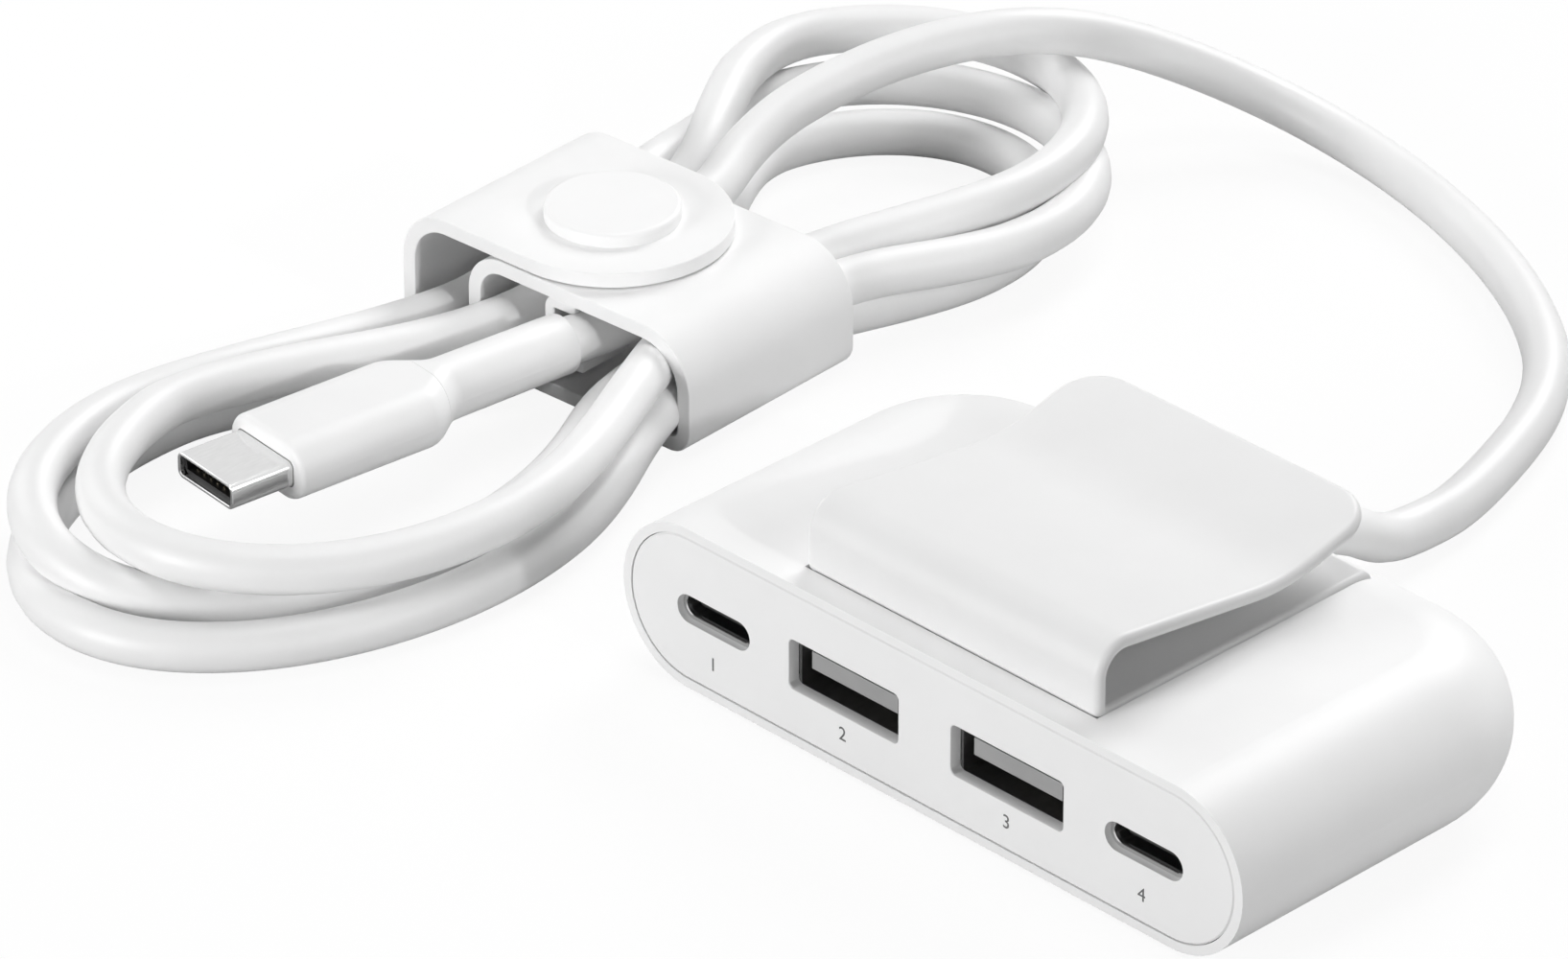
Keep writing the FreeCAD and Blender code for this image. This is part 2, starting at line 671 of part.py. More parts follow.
def make_clip():
    """Spring clip moulded in one piece, with pegs that are melted over inside the slab."""
    body = new_body("spring_clip")
    half_width = value("clip_width / 2")
    profile = new_sketch(body, "YZ_Plane")
    inner_front = f"({CLIP_FRONT} + clip_wall)"
    pinch = f"({CLIP_FRONT} + clip_pinch_run)"
    tail = f"({CLIP_FRONT} + clip_tail_run)"
    polygon(
        profile,
        [
            (CLIP_FRONT, f"housing_height - {SEAT_DEPTH}"),
            (CLIP_FRONT, "housing_height + clip_bend_height"),
            (pinch, "housing_height + clip_pinch_height"),
            (tail, "housing_height + clip_tail_height"),
            (tail, "housing_height + clip_tail_height - clip_wall"),
            (pinch, "housing_height + clip_pinch_height - clip_wall"),
            (inner_front, "housing_height + clip_bend_height - clip_wall"),
            (inner_front, CLIP_FLOOR),
            (f"{CLIP_FRONT} + clip_base_length", CLIP_FLOOR),
            (f"{CLIP_FRONT} + clip_base_length", f"housing_height - {SEAT_DEPTH}"),
        ],
    )
    pad(body, profile, "clip_width", both=True)

    def crosses(edge, across, up):
        return near(edge.BoundBox.XLength, 2 * half_width) and at_y(edge, value(across)) and at_z(edge, value(up))

    top = "housing_height + clip_bend_height"
    low = "housing_height + clip_pinch_height"
    fillet(body, "clip_bend_radius", lambda edge: crosses(edge, CLIP_FRONT, top))
    fillet(body, "clip_bend_radius - clip_wall", lambda edge: crosses(edge, inner_front, f"{top} - clip_wall"))
    fillet(body, "clip_pinch_radius", lambda edge: crosses(edge, pinch, low))
    fillet(body, "clip_pinch_radius + clip_wall", lambda edge: crosses(edge, pinch, f"{low} - clip_wall"))
    corners = new_sketch(body, "XY_Plane", "housing_height + clip_tail_height")
    for _, sign in SIDES:
        corner(corners, f"{sign} * clip_width / 2", tail, "clip_tail_radius", float(sign))
    pocket(body, corners, "clip_tail_height - clip_base_proud - clip_wall")
    lever = value(top) - 2 * value("clip_bend_radius")
    chamfer(
        body,
        "clip_edge_chamfer",
        lambda edge: near(abs(edge.BoundBox.XMin), half_width)
        and edge.BoundBox.YLength > half_width / 2
        and edge.BoundBox.ZMax > value(top) - value("clip_wall") / 2
        and edge.BoundBox.ZMin > lever,
    )
    pegs = new_sketch(body, "XY_Plane", f"housing_height - {SEAT_DEPTH}")
    for _, sign in SIDES:
        circle(pegs, f"{sign} * clip_peg_pitch / 2", "0", "clip_peg_diameter")
    pad(body, pegs, f"housing_wall - {SEAT_DEPTH}", flip=True)
    heads = new_sketch(body, "XY_Plane", "housing_height - housing_wall")
    for _, sign in SIDES:
        circle(heads, f"{sign} * clip_peg_pitch / 2", "0", "clip_peg_head_diameter")
    pad(body, heads, "clip_peg_head_height", flip=True)


def make_gland():
    """Moulded gland held in the slab's rear wall, with a tapered sleeve outside."""
    body = new_body("cord_gland", {"z": MIDDLE})
    profile = new_sketch(body, "YZ_Plane")
    inner_wall = f"({REAR} - rear_wall)"
    polygon(
        profile,
        [
            (f"{inner_wall} - gland_flange_thickness", "gland_bore / 2"),
            (f"{inner_wall} - gland_flange_thickness", "gland_flange_diameter / 2"),
            (inner_wall, "gland_flange_diameter / 2"),
            (inner_wall, "gland_neck_diameter / 2"),
            (REAR, "gland_neck_diameter / 2"),
            (f"{REAR} + gland_length", "gland_tip_diameter / 2"),
            (f"{REAR} + gland_length", "gland_bore / 2"),
        ],
    )
    revolve(body, profile)


def rounded_path(points):
    """Straight runs joined by tangent arcs as large as the runs allow, with the arcs' radii."""
    spots = [Vector(*point) for point in points]
    edges = []
    radii = []
    start = spots[0]
    for before, corner, after in zip(spots, spots[1:], spots[2:]):
        arriving = (corner - before).normalize()
        leaving = (after - corner).normalize()
        turn = arriving.getAngle(leaving)
        setback = 0.45 * min((corner - before).Length, (after - corner).Length)
        radius = setback / math.tan(turn / 2)
        radii.append(radius)
        first = corner - arriving * setback
        last = corner + leaving * setback
        inward = (leaving - arriving).normalize()
        centre_reach = radius / math.cos(turn / 2)
        middle = corner + inward * (centre_reach - radius)
        edges.append(Part.LineSegment(start, first).toShape())
        edges.append(Part.Arc(first, middle, last).toShape())
        start = last
    edges.append(Part.LineSegment(start, spots[-1]).toShape())
    return Part.Wire(edges), radii


def tube(points, diameter):
    """Solid tube along a rounded path, with the path's length and radii."""
    path, radii = rounded_path(points)
    start = Vector(*points[0])
    direction = Vector(*points[1]) - start
    ring = Part.Wire([Part.Circle(start, direction, diameter / 2).toShape()])
    return path.makePipeShell([ring], True, True), path.Length, radii


def make_cores():
    """Four cores of the lead, pulled straight from the gland down to pads at the board's rear edge."""
    diameter = value("core_diameter")
    start = value(f"{REAR} - rear_wall - gland_flange_thickness - core_gap")
    end = value(f"{BOARD_BACK} - core_landing")
    seat = value(f"{BOARD_TOP} + core_diameter")
    cores = []
    for index in range(4):
        across = (index - 1.5) * value("core_pitch")
        top = Vector(across / 2, start, value(MIDDLE))
        foot = Vector(across, end, seat)
        cores.append(Part.makeCylinder(diameter / 2, (foot - top).Length, top, foot - top))
    solid("lead_cores", Part.Compound(cores))


def make_lead():
    shape, length, radii = tube(LEAD_ROUTE, value("cord_diameter"))
    section = math.pi * value("cord_diameter") ** 2 / 4
    print("lead length", round(length, 1), "volume ratio", round(shape.Volume / (section * length), 4))
    print("lead radii", [round(radius, 1) for radius in radii])
    solid("cord_lead", shape)


def strap_placement():
    return FreeCAD.Placement(STRAP_PLACE, FreeCAD.Rotation(STRAP_TURN, 0, 0))


def plug_placement():
    return FreeCAD.Placement(PLUG_PLACE, FreeCAD.Rotation(PLUG_YAW, PLUG_PITCH, PLUG_ROLL))


# Levels and sides of the strap in its own frame, where X runs across the hank
STRAP_FAR = "-strap_span / 2"
STRAP_NEAR = "strap_span / 2"
STRAP_CEILING = "(strap_height - strap_thickness)"
LAP_FLOOR = "(strap_height + strap_lap_gap)"
LAP_TOP = "(strap_height + strap_lap_gap + strap_thickness)"
CURL = f"({STRAP_NEAR} - curl_reach)"
TAB_END = f"({STRAP_FAR} + tab_reach)"
TAB_CENTRE = f"({TAB_END} - strap_width / 2)"


def make_strap():
    """Soft strap in one piece: a band round the hank, a round tab lapped over it and a grip for the cord."""
    body = new_body("cord_strap")
    profile = new_sketch(body, "XZ_Plane")
    far_inside = f"({STRAP_FAR} + strap_thickness)"
    near_inside = f"({STRAP_NEAR} - strap_thickness)"
    curl_inside = f"({CURL} + strap_thickness)"
    curl_end = "(strap_height - curl_drop)"
    polygon(
        profile,
        [
            (TAB_END, LAP_TOP),
            (STRAP_FAR, LAP_TOP),
            (STRAP_FAR, "0"),
            (STRAP_NEAR, "0"),
            (STRAP_NEAR, "strap_height"),
            (CURL, "strap_height"),
            (CURL, curl_end),
            (curl_inside, curl_end),
            (curl_inside, STRAP_CEILING),
            (near_inside, STRAP_CEILING),
            (near_inside, "strap_thickness"),
            (far_inside, "strap_thickness"),
            (far_inside, LAP_FLOOR),
            (TAB_END, LAP_FLOOR),
        ],
    )
    pad(body, profile, "strap_width", both=True)

    def bends(across, up):
        spot = (value(across), value(up))
        return lambda edge: edge.BoundBox.YLength > 1 and at_x(edge, spot[0]) and at_z(edge, spot[1])

    for across, up, radius in (
        (STRAP_FAR, LAP_TOP, "strap_far_radius"),
        (STRAP_FAR, "0", "strap_far_radius"),
        (STRAP_NEAR, "0", "strap_near_radius"),
        (STRAP_NEAR, "strap_height", "strap_near_radius"),
        (CURL, "strap_height", "curl_radius"),
    ):
        fillet(body, radius, bends(across, up))
    for across, up, radius in (
        (far_inside, LAP_FLOOR, "strap_far_radius - strap_thickness"),
        (far_inside, "strap_thickness", "strap_far_radius - strap_thickness"),
        (near_inside, "strap_thickness", "strap_near_radius - strap_thickness"),
        (near_inside, STRAP_CEILING, "strap_near_radius - strap_thickness"),
        (curl_inside, STRAP_CEILING, "curl_radius - strap_thickness"),
    ):
        fillet(body, radius, bends(across, up))
    tab_end = value(TAB_END)
    fillet(body, "(strap_width - strap_end_flat) / 2", lambda edge: is_upright(edge) and at_x(edge, tab_end))
    grip = new_sketch(body, "XZ_Plane", "strap_width / 2")
    circle(grip, "grip_place", "grip_rise", "cord_diameter + 2 * grip_wall")
    pad(body, grip, "grip_length", flip=True)
    root = new_sketch(body, "XZ_Plane", "strap_width / 2")
    half = "(cord_diameter / 2 + grip_wall)"
    rectangle(root, f"grip_place - {half}", "grip_rise", "grip_place", f"{STRAP_CEILING} + strap_thickness / 2")
    pad(body, root, "grip_length", flip=True)
    bore = new_sketch(body, "XZ_Plane", "strap_width / 2")
    circle(bore, "grip_place", "grip_rise", "cord_diameter")
    pocket(body, bore, "grip_length")
    mouth = new_sketch(body, "XZ_Plane", "strap_width / 2")
    rectangle(
        mouth,
        "grip_place",
        "grip_rise - grip_mouth / 2 - grip_wall",
        f"grip_place + {half}",
        "grip_rise + grip_mouth / 2",
    )
    pocket(body, mouth, "grip_length")
    hole = new_sketch(body, "XY_Plane", LAP_TOP)
    circle(hole, TAB_CENTRE, "0", "button_neck_diameter + 2 * button_gap")
    pocket(body, hole, "2 * strap_thickness + strap_lap_gap")
    body.Placement = strap_placement()


def make_button():
    """Press button: a wide cap over the tab, a neck through both laps and a foot under them."""
    body = new_body("strap_button")
    cap = new_sketch(body, "XY_Plane", LAP_TOP)
    circle(cap, TAB_CENTRE, "0", "button_diameter")
    pad(body, cap, "button_thickness")
    top = value(f"{LAP_TOP} + button_thickness")
    fillet(body, "button_edge_radius", lambda edge: at_z(edge, top))
    neck = new_sketch(body, "XY_Plane", LAP_TOP)
    circle(neck, TAB_CENTRE, "0", "button_neck_diameter")
    pad(body, neck, "2 * strap_thickness + strap_lap_gap", flip=True)
    foot = new_sketch(body, "XY_Plane", STRAP_CEILING)
    circle(foot, TAB_CENTRE, "0", "button_foot_diameter")
    pad(body, foot, "button_foot_thickness", flip=True)
    body.Placement = strap_placement()


def make_plug():
    """USB-C plug along its own X axis: tapered relief, shouldered body, metal shell and slotted insert."""
    relief = new_body("plug_strain_relief")
    taper = new_sketch(relief, "XY_Plane")
    polygon(
        taper,
        [
            ("0", "0"),
            ("plug_relief_length", "0"),
            ("plug_relief_length", "plug_relief_end / 2"),
            ("0", "plug_relief_start / 2"),
        ],
    )
    revolve(relief, taper)
    fillet(relief, "plug_relief_rim", lambda edge: at_x(edge, 0))

    cover = new_body("plug_body")
    neck_width = "(plug_relief_end + plug_neck_flat)"
    sections = []
    for share, growth in PLUG_SHOULDER:
        section = new_sketch(cover, "YZ_Plane", f"plug_relief_length + {share} * plug_shoulder_length")
        width = f"{neck_width} + {growth} * (plug_body_width - {neck_width})"
        height = f"plug_relief_end + {growth} * (plug_body_height - plug_relief_end)"
        slot(section, "0", "0", width, height)
        sections.append(section)
    loft(cover, sections)
    front = "(plug_relief_length + plug_body_length)"
    nose = value(front)
    grip = new_sketch(cover, "YZ_Plane", "plug_relief_length + plug_shoulder_length")
    slot(grip, "0", "0", "plug_body_width", "plug_body_height")
    pad(cover, grip, "plug_body_length - plug_shoulder_length")
    fillet(cover, "plug_front_radius", lambda edge: at_x(edge, nose))
    socket = new_sketch(cover, "YZ_Plane", front)
    slot(socket, "0", "0", "plug_shell_width + 2 * plug_fit", "plug_shell_height + 2 * plug_fit")
    pocket(cover, socket, "plug_shell_wall")

    shell = new_body("plug_shell")
    wall = new_sketch(shell, "YZ_Plane", f"{front} - plug_shell_wall")
    slot(wall, "0", "0", "plug_shell_width", "plug_shell_height")
    pad(shell, wall, "plug_shell_length + plug_shell_wall")
    bore = new_sketch(shell, "YZ_Plane", f"{front} + plug_shell_length")
    trim = "2 * plug_shell_wall"
    slot(bore, "0", "0", f"plug_shell_width - {trim}", f"plug_shell_height - {trim}")
    pocket(shell, bore, "plug_shell_length")

    insert = new_body("plug_insert")
    filling = new_sketch(insert, "YZ_Plane", front)
    fit = "2 * (plug_shell_wall + plug_fit)"
    slot(filling, "0", "0", f"plug_shell_width - {fit}", f"plug_shell_height - {fit}")
    pad(insert, filling, "plug_shell_length - plug_insert_setback")
    tip = f"({front} + plug_shell_length - plug_insert_setback)"
    opening = new_sketch(insert, "YZ_Plane", tip)
    rectangle(
        opening,
        "-plug_slot_width / 2",
        "-plug_slot_height / 2",
        "plug_slot_width / 2",
        "plug_slot_height / 2",
    )
    pocket(insert, opening, "plug_slot_depth")

    fingers = []
    for row_sign in ("-1", "1"):
        for index in range(6):
            level = f"{row_sign} * (plug_slot_height / 2 - contact_thickness / 2) - contact_thickness / 2"
            corner = (
                f"{tip} - plug_contact_length - plug_insert_setback",
                f"{index - 2.5} * plug_contact_pitch - plug_contact_width / 2",
                level,
            )
            size = ("plug_contact_length", "plug_contact_width", "contact_thickness")
            fingers.append(block(f"plug_finger_{len(fingers)}", size, corner))
    contacts = group("plug_contacts", fingers)
    for piece in (relief, cover, shell, insert, contacts):
        piece.Placement = plug_placement()


def oval(loop, height):
    """Upright solid on an ellipse that is longer along Y."""
    (across, along), half_width, half_length = loop
    middle = Vector(across, along, 0)
    outline = Part.Ellipse(middle + Vector(0, half_length, 0), middle + Vector(half_width, 0, 0), middle)
    return Part.Face(Part.Wire([outline.toShape()])).extrude(Vector(0, 0, height))


def strap_box(left, front, low, right, back, high):
    """Box in the strap's own frame, moved to where the strap lies."""
    box = Part.makeBox(right - left, back - front, high - low, Vector(left, front, low))
    box.Placement = strap_placement()
    return box


def make_hank():
    """Outer form of the hank: two open loops and the bundle of strands inside the strap."""
    gap = value("hank_gap")
    half = value("strap_width / 2")
    far = value(f"{STRAP_FAR} + strap_thickness") + gap
    close = value(f"{STRAP_NEAR} - strap_thickness") - gap
    low = value("strap_thickness") + gap
    high = value(STRAP_CEILING) - gap
    left = oval(LEFT_LOOP, value("hank_left_height")).cut(oval(LEFT_HOLE, value("hank_left_height")))
    right = oval(RIGHT_LOOP, value("hank_right_height")).cut(oval(RIGHT_HOLE, value("hank_right_height")))
    reach = value("strap_span")
    ceiling = value(LAP_TOP)
    clearing = strap_box(-reach, -half - gap, -1.0, reach, half + gap, ceiling)
    loops = left.fuse(right).cut(clearing)
    end = half + value("hank_overhang")
    bundle = strap_box(far, -end, low, close, end, high)
    long_edges = [edge for edge in bundle.Edges if near(edge.Length, 2 * end)]
    bundle = bundle.makeFillet(value("strap_near_radius - strap_thickness"), long_edges)
    whole = bundle.fuse(loops)
    curl = value(CURL)
    curl_end = value("strap_height - curl_drop")
    curl_inside = curl + value("curl_radius") + gap
    whole = whole.cut(strap_box(curl - gap, -half - gap, curl_end - gap, curl_inside, half + gap, ceiling))
    grip = value("cord_diameter / 2 + grip_wall") + gap
    across = value("grip_place")
    rise = value("grip_rise")
    grip_back = -half + value("grip_length") + gap
    whole = whole.cut(strap_box(across - grip, -half - 8 * gap, rise - grip, across + grip, grip_back, ceiling))
    foot = value("button_foot_diameter / 2") + gap
    button = value(TAB_CENTRE)
    foot_low = value(f"{STRAP_CEILING} - button_foot_thickness") - gap
    whole = whole.cut(strap_box(button - foot, -foot, foot_low, button + foot, foot, ceiling))
    axis = plug_placement().Rotation.multVec(Vector(1, 0, 0))
    start = PLUG_PLACE - axis * gap
    channel = Part.makeCylinder(value("plug_relief_end / 2") + gap, value("plug_relief_length"), start, axis)
    whole = whole.cut(channel)
    run_in = strap_placement().inverse().multVec(Vector(*LEAD_ROUTE[-1]))
    lead_half = value("cord_diameter / 2") + 3 * gap
    lead_low = run_in.z - lead_half
    whole = whole.cut(strap_box(run_in.x - lead_half, end, lead_low, run_in.x + lead_half, 2 * end, ceiling))
    whole = whole.removeSplitter()
    solid("cord_hank", whole)


def main():
    make_housing()
    make_panel()
    make_board()
    for side, sign in SIDES:
        make_usb_a_socket(side, sign)
        make_usb_c_socket(side, sign)
        make_board_pieces(side, sign)
    make_capacitors()
    make_clip()
    make_gland()
    make_cores()
    make_lead()
    make_strap()
    make_button()
    make_plug()
    make_hank()
    doc.recompute()
    for thing in doc.Objects:
        if "Invalid" in thing.State or "Error" in thing.State:
            raise ValueError(f"{thing.Label} failed: {thing.State}")
    for node in nodes:
        if node.Shape.isNull() or not node.Shape.isValid():
            raise ValueError(f"{node.Label} has no valid shape")
    for node in nodes:
        node.Shape.exportStep(f"parts/{node.Label}.step")
        print(node.Label, len(node.Shape.Solids), round(node.Shape.Volume, 2))


main()
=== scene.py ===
import math

import bmesh
import bpy
from mathutils import Matrix, Vector


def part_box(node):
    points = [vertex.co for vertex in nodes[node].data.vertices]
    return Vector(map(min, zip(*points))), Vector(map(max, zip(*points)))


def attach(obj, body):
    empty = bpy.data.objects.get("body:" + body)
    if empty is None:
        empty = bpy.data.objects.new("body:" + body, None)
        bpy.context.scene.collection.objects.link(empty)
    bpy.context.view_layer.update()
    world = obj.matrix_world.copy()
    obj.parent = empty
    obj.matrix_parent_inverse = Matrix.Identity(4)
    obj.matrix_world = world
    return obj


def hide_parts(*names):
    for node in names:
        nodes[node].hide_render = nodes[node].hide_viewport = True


# A four-port USB power strip with a spring clip, and its lead wound in a strapped hank.
# The part's own frame: X along the strip, ports towards -Y, +Z up. Pieces are drawn in millimetres
# and scaled to metres; the camera, the lamps and the floor are in metres.

MM = 0.001

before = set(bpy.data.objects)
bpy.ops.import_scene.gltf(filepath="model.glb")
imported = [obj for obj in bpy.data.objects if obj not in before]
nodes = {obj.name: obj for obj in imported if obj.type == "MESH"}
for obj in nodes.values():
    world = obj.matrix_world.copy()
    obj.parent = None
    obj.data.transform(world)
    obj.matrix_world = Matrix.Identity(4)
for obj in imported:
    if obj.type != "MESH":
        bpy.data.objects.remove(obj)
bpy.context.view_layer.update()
collection = bpy.context.scene.collection

# Camera of the photograph
CAMERA_PLACE = (0.4779, -0.5038, 0.42787)
CAMERA_RIGHT = (0.6983, 0.7158, 0.0)
CAMERA_UP = (-0.3598, 0.3510, 0.8645)
CAMERA_LOOK = (-0.6188, 0.6037, -0.5026)
CAMERA_LENS = 216.48
CAMERA_CLIP = (0.01, 20.0)
SENSOR_WIDTH = 36.0

# Cord, in millimetres: its sizes, the curve's steps along and round it, and the lead to the strap
CORD_DIAMETER = 4.5
CORD_EXIT = (0.0, 25.0, 8.0)
CORD_STEPS_ALONG = 10
CORD_STEPS_ROUND = 8
ON_FLOOR = CORD_DIAMETER / 2
LEAD_ROUTE = [
    CORD_EXIT,
    (0.0, 28.2, 8.0),
    (0.1, 32.0, 6.4),
    (-0.2, 36.0, 3.6),
    (-0.5, 40.5, 2.35),
    (-0.6, 48.5, 2.25),
    (-7.8, 68.6, 2.25),
    (-21.8, 80.6, 2.25),
    (-40.8, 88.8, 2.25),
    (-60.4, 91.2, 3.2),
    (-71.6, 81.2, 9.8),
    (-75.4, 69.5, 14.8),
    (-81.2, 58.6, 14.2),
    (-84.8, 47.5, 11.6),
    (-84.4, 39.5, 9.6),
    (-80.6, 31.0, 8.2),
]

# Frame of the strap: across the hank, along it, and up
STRAP_PLACE = (-76.5, 16.5)
STRAP_TURN = math.radians(4.0)

# Ends of the three turns in the cord's order: back and front X, middle Y, tip Y and the heights
# along the bend. The curve cuts inside its control points, so these lie a little further out.
LOOP_SWELL = 1.035
END_POINTS = 9
LEFT_ANGLES = [(185.0, 390.0), (195.0, 390.0), (185.0, 390.0)]
LEFT_ENDS = [
    (-89.0, -52.2, -22.5, -47.2, (7.1, 7.4, 7.7, 8.0, 8.0, 7.8, 7.6, 7.6, 7.8)),
    (-92.3, -51.8, -24.0, -54.0, (ON_FLOOR,) * END_POINTS),
    (-93.7, -58.6, -22.0, -51.4, (5.0, 6.4, 6.8, 6.1, 4.3, 2.8, 2.3, 2.25, 2.4)),
]
RIGHT_ANGLES = [(-15.0, 160.0), (-15.0, 180.0), (-15.0, 180.0)]
RIGHT_ENDS = [
    (-99.3, -61.2, 52.0, 73.1, (9.1, 9.0, 8.9, 8.5, 8.3, 8.3, 8.4, 8.5, 8.6)),
    (-96.6, -57.4, 50.5, 69.2, (6.2, 6.2, 5.9, 5.7, 5.5, 5.2, 5.0, 4.8, 4.6)),
    (-91.5, -61.0, 48.0, 65.2, (ON_FLOOR,) * END_POINTS),
]
# Way back to the strap from each right end; the last one goes under the lead to the plug
RIGHT_RETURNS = [
    [(-97.2, 51.5, 8.7), (-92.4, 44.2, 9.0), (-87.4, 36.6, 7.6)],
    [(-95.6, 45.4, 4.5), (-93.4, 38.6, 5.6), (-91.4, 32.5, 6.3)],
    [(-86.4, 38.2, 2.3), (-79.6, 31.6, 2.9)],
]

# Strands inside the strap, as across, along and height
BACK_STRANDS = [
    [(-3.6, 2.0, 8.1), (-4.6, -11.9, 4.9)],
    [(-7.8, 11.9, 5.2), (-5.0, 5.0, 3.8), (-0.5, -3.0, 3.75), (-0.1, -11.9, 3.7)],
    [(-13.2, 11.9, 6.4), (-12.5, -1.0, 4.0), (-12.1, -11.9, 3.75)],
]
FRONT_STRANDS = [
    [(13.7, -11.9, 7.8), (10.8, -3.0, 8.15), (10.2, 11.9, 8.15)],
    [(14.2, -11.9, 3.8), (14.3, -2.0, 6.0), (14.3, 11.9, 7.5)],
    [(9.3, -11.9, 3.8), (10.0, 2.0, 3.8), (14.4, 11.9, 3.75)],
]
# The turn that lies lowest on the left, and its way there from the strap, under the first turn
LOW_TURN = 1
LEFT_APPROACH = [(-80.5, -2.5, 2.5), (-92.0, -18.5, 2.25)]

# The plug's own strand, through the strap and into the plug
PLUG_STRAND = [(2.2, 11.0, 3.75), (3.6, 2.0, 5.4), (5.7, -7.6, 7.7)]
PLUG_START = (-71.4, 4.0, 7.5)


def strap_point(across, along, up):
    """Point of the strap's own frame, in the part's frame."""
    turn_cos, turn_sin = math.cos(STRAP_TURN), math.sin(STRAP_TURN)
    x = STRAP_PLACE[0] + across * turn_cos - along * turn_sin
    y = STRAP_PLACE[1] + across * turn_sin + along * turn_cos
    return (x, y, up)


def band_point(spot, across):
    """Point of a section drawn across the hank, at a place along it."""
    return strap_point(spot.x, across, spot.y)


def loop_end(end, angles):
    """Points round one open end of a turn."""
    back, front, middle, tip, heights = end
    centre = (back + front) / 2
    half_width = (front - back) / 2 * LOOP_SWELL
    half_length = abs(tip - middle) * LOOP_SWELL
    start, stop = angles
    points = []
    for index, height in enumerate(heights):
        angle = math.radians(start + (stop - start) * index / (len(heights) - 1))
        x = centre + half_width * math.cos(angle)
        y = middle + half_length * math.sin(angle)
        points.append((x, y, height))
    return points


def cord_route():
    """Control points of the whole cord, from the gland to the plug."""
    points = list(LEAD_ROUTE)
    for turn in range(len(LEFT_ENDS)):
        points += [strap_point(*spot) for spot in BACK_STRANDS[turn]]
        if turn == LOW_TURN:
            points += LEFT_APPROACH
        points += loop_end(LEFT_ENDS[turn], LEFT_ANGLES[turn])
        points += [strap_point(*spot) for spot in FRONT_STRANDS[turn]]
        points += loop_end(RIGHT_ENDS[turn], RIGHT_ANGLES[turn])
        points += RIGHT_RETURNS[turn]
    points += [strap_point(*spot) for spot in PLUG_STRAND]
    points.append(PLUG_START)
    return points


def make_camera():
    camera = bpy.data.cameras.new("camera")
    camera.lens = CAMERA_LENS
    camera.sensor_width = SENSOR_WIDTH
    camera.sensor_fit = "HORIZONTAL"
    camera.clip_start, camera.clip_end = CAMERA_CLIP
    thing = bpy.data.objects.new("camera", camera)
    collection.objects.link(thing)
    axes = Matrix((CAMERA_RIGHT, CAMERA_UP, [-part for part in CAMERA_LOOK])).transposed()
    thing.matrix_world = Matrix.Translation(CAMERA_PLACE) @ axes.to_4x4()
    bpy.context.scene.camera = thing


def make_cord():
    """The whole cord on one smooth curve. It stands for the part's plain lead and hank."""
    curve = bpy.data.curves.new("cord", "CURVE")
    curve.dimensions = "3D"
    spline = curve.splines.new("NURBS")
    route = cord_route()
    spline.points.add(len(route) - 1)
    # Each point carries the cord's radius, so that the curve's box is the cord's own
    for point, spot in zip(spline.points, route):
        point.co = (spot[0] * MM, spot[1] * MM, spot[2] * MM, 1.0)
        point.radius = CORD_DIAMETER / 2 * MM
    spline.order_u = 3
    spline.use_endpoint_u = True
    spline.resolution_u = CORD_STEPS_ALONG
    curve.bevel_depth = 1.0
    curve.bevel_resolution = CORD_STEPS_ROUND
    curve.use_fill_caps = True
    cord = bpy.data.objects.new("cord", curve)
    collection.objects.link(cord)
    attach(cord, "root")
    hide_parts("cord_lead", "cord_hank")
    cord.data.materials.append(FINISHES["white_jacket"])
    return cord


# Plastic: refraction, size and detail of its clouds, where their tones end, and its grain
PLASTIC_IOR = 1.48
CLOUD_SIZE = 9.0
CLOUD_DETAIL = 3.0
CLOUD_ENDS = (0.3, 0.7)
GRAIN_DETAIL = 2.0
GRAIN_STRENGTH = 0.6

# Metal: size and detail of its drawn lines
DRAWN_LINE = 0.25
DRAWN_DETAIL = 4.0


def set_tones(ramp, low, high):
    """Darkest and lightest colour of a tone ramp."""
    for element, colour in zip(ramp.elements, (low, high)):
        element.color = (*colour, 1.0)


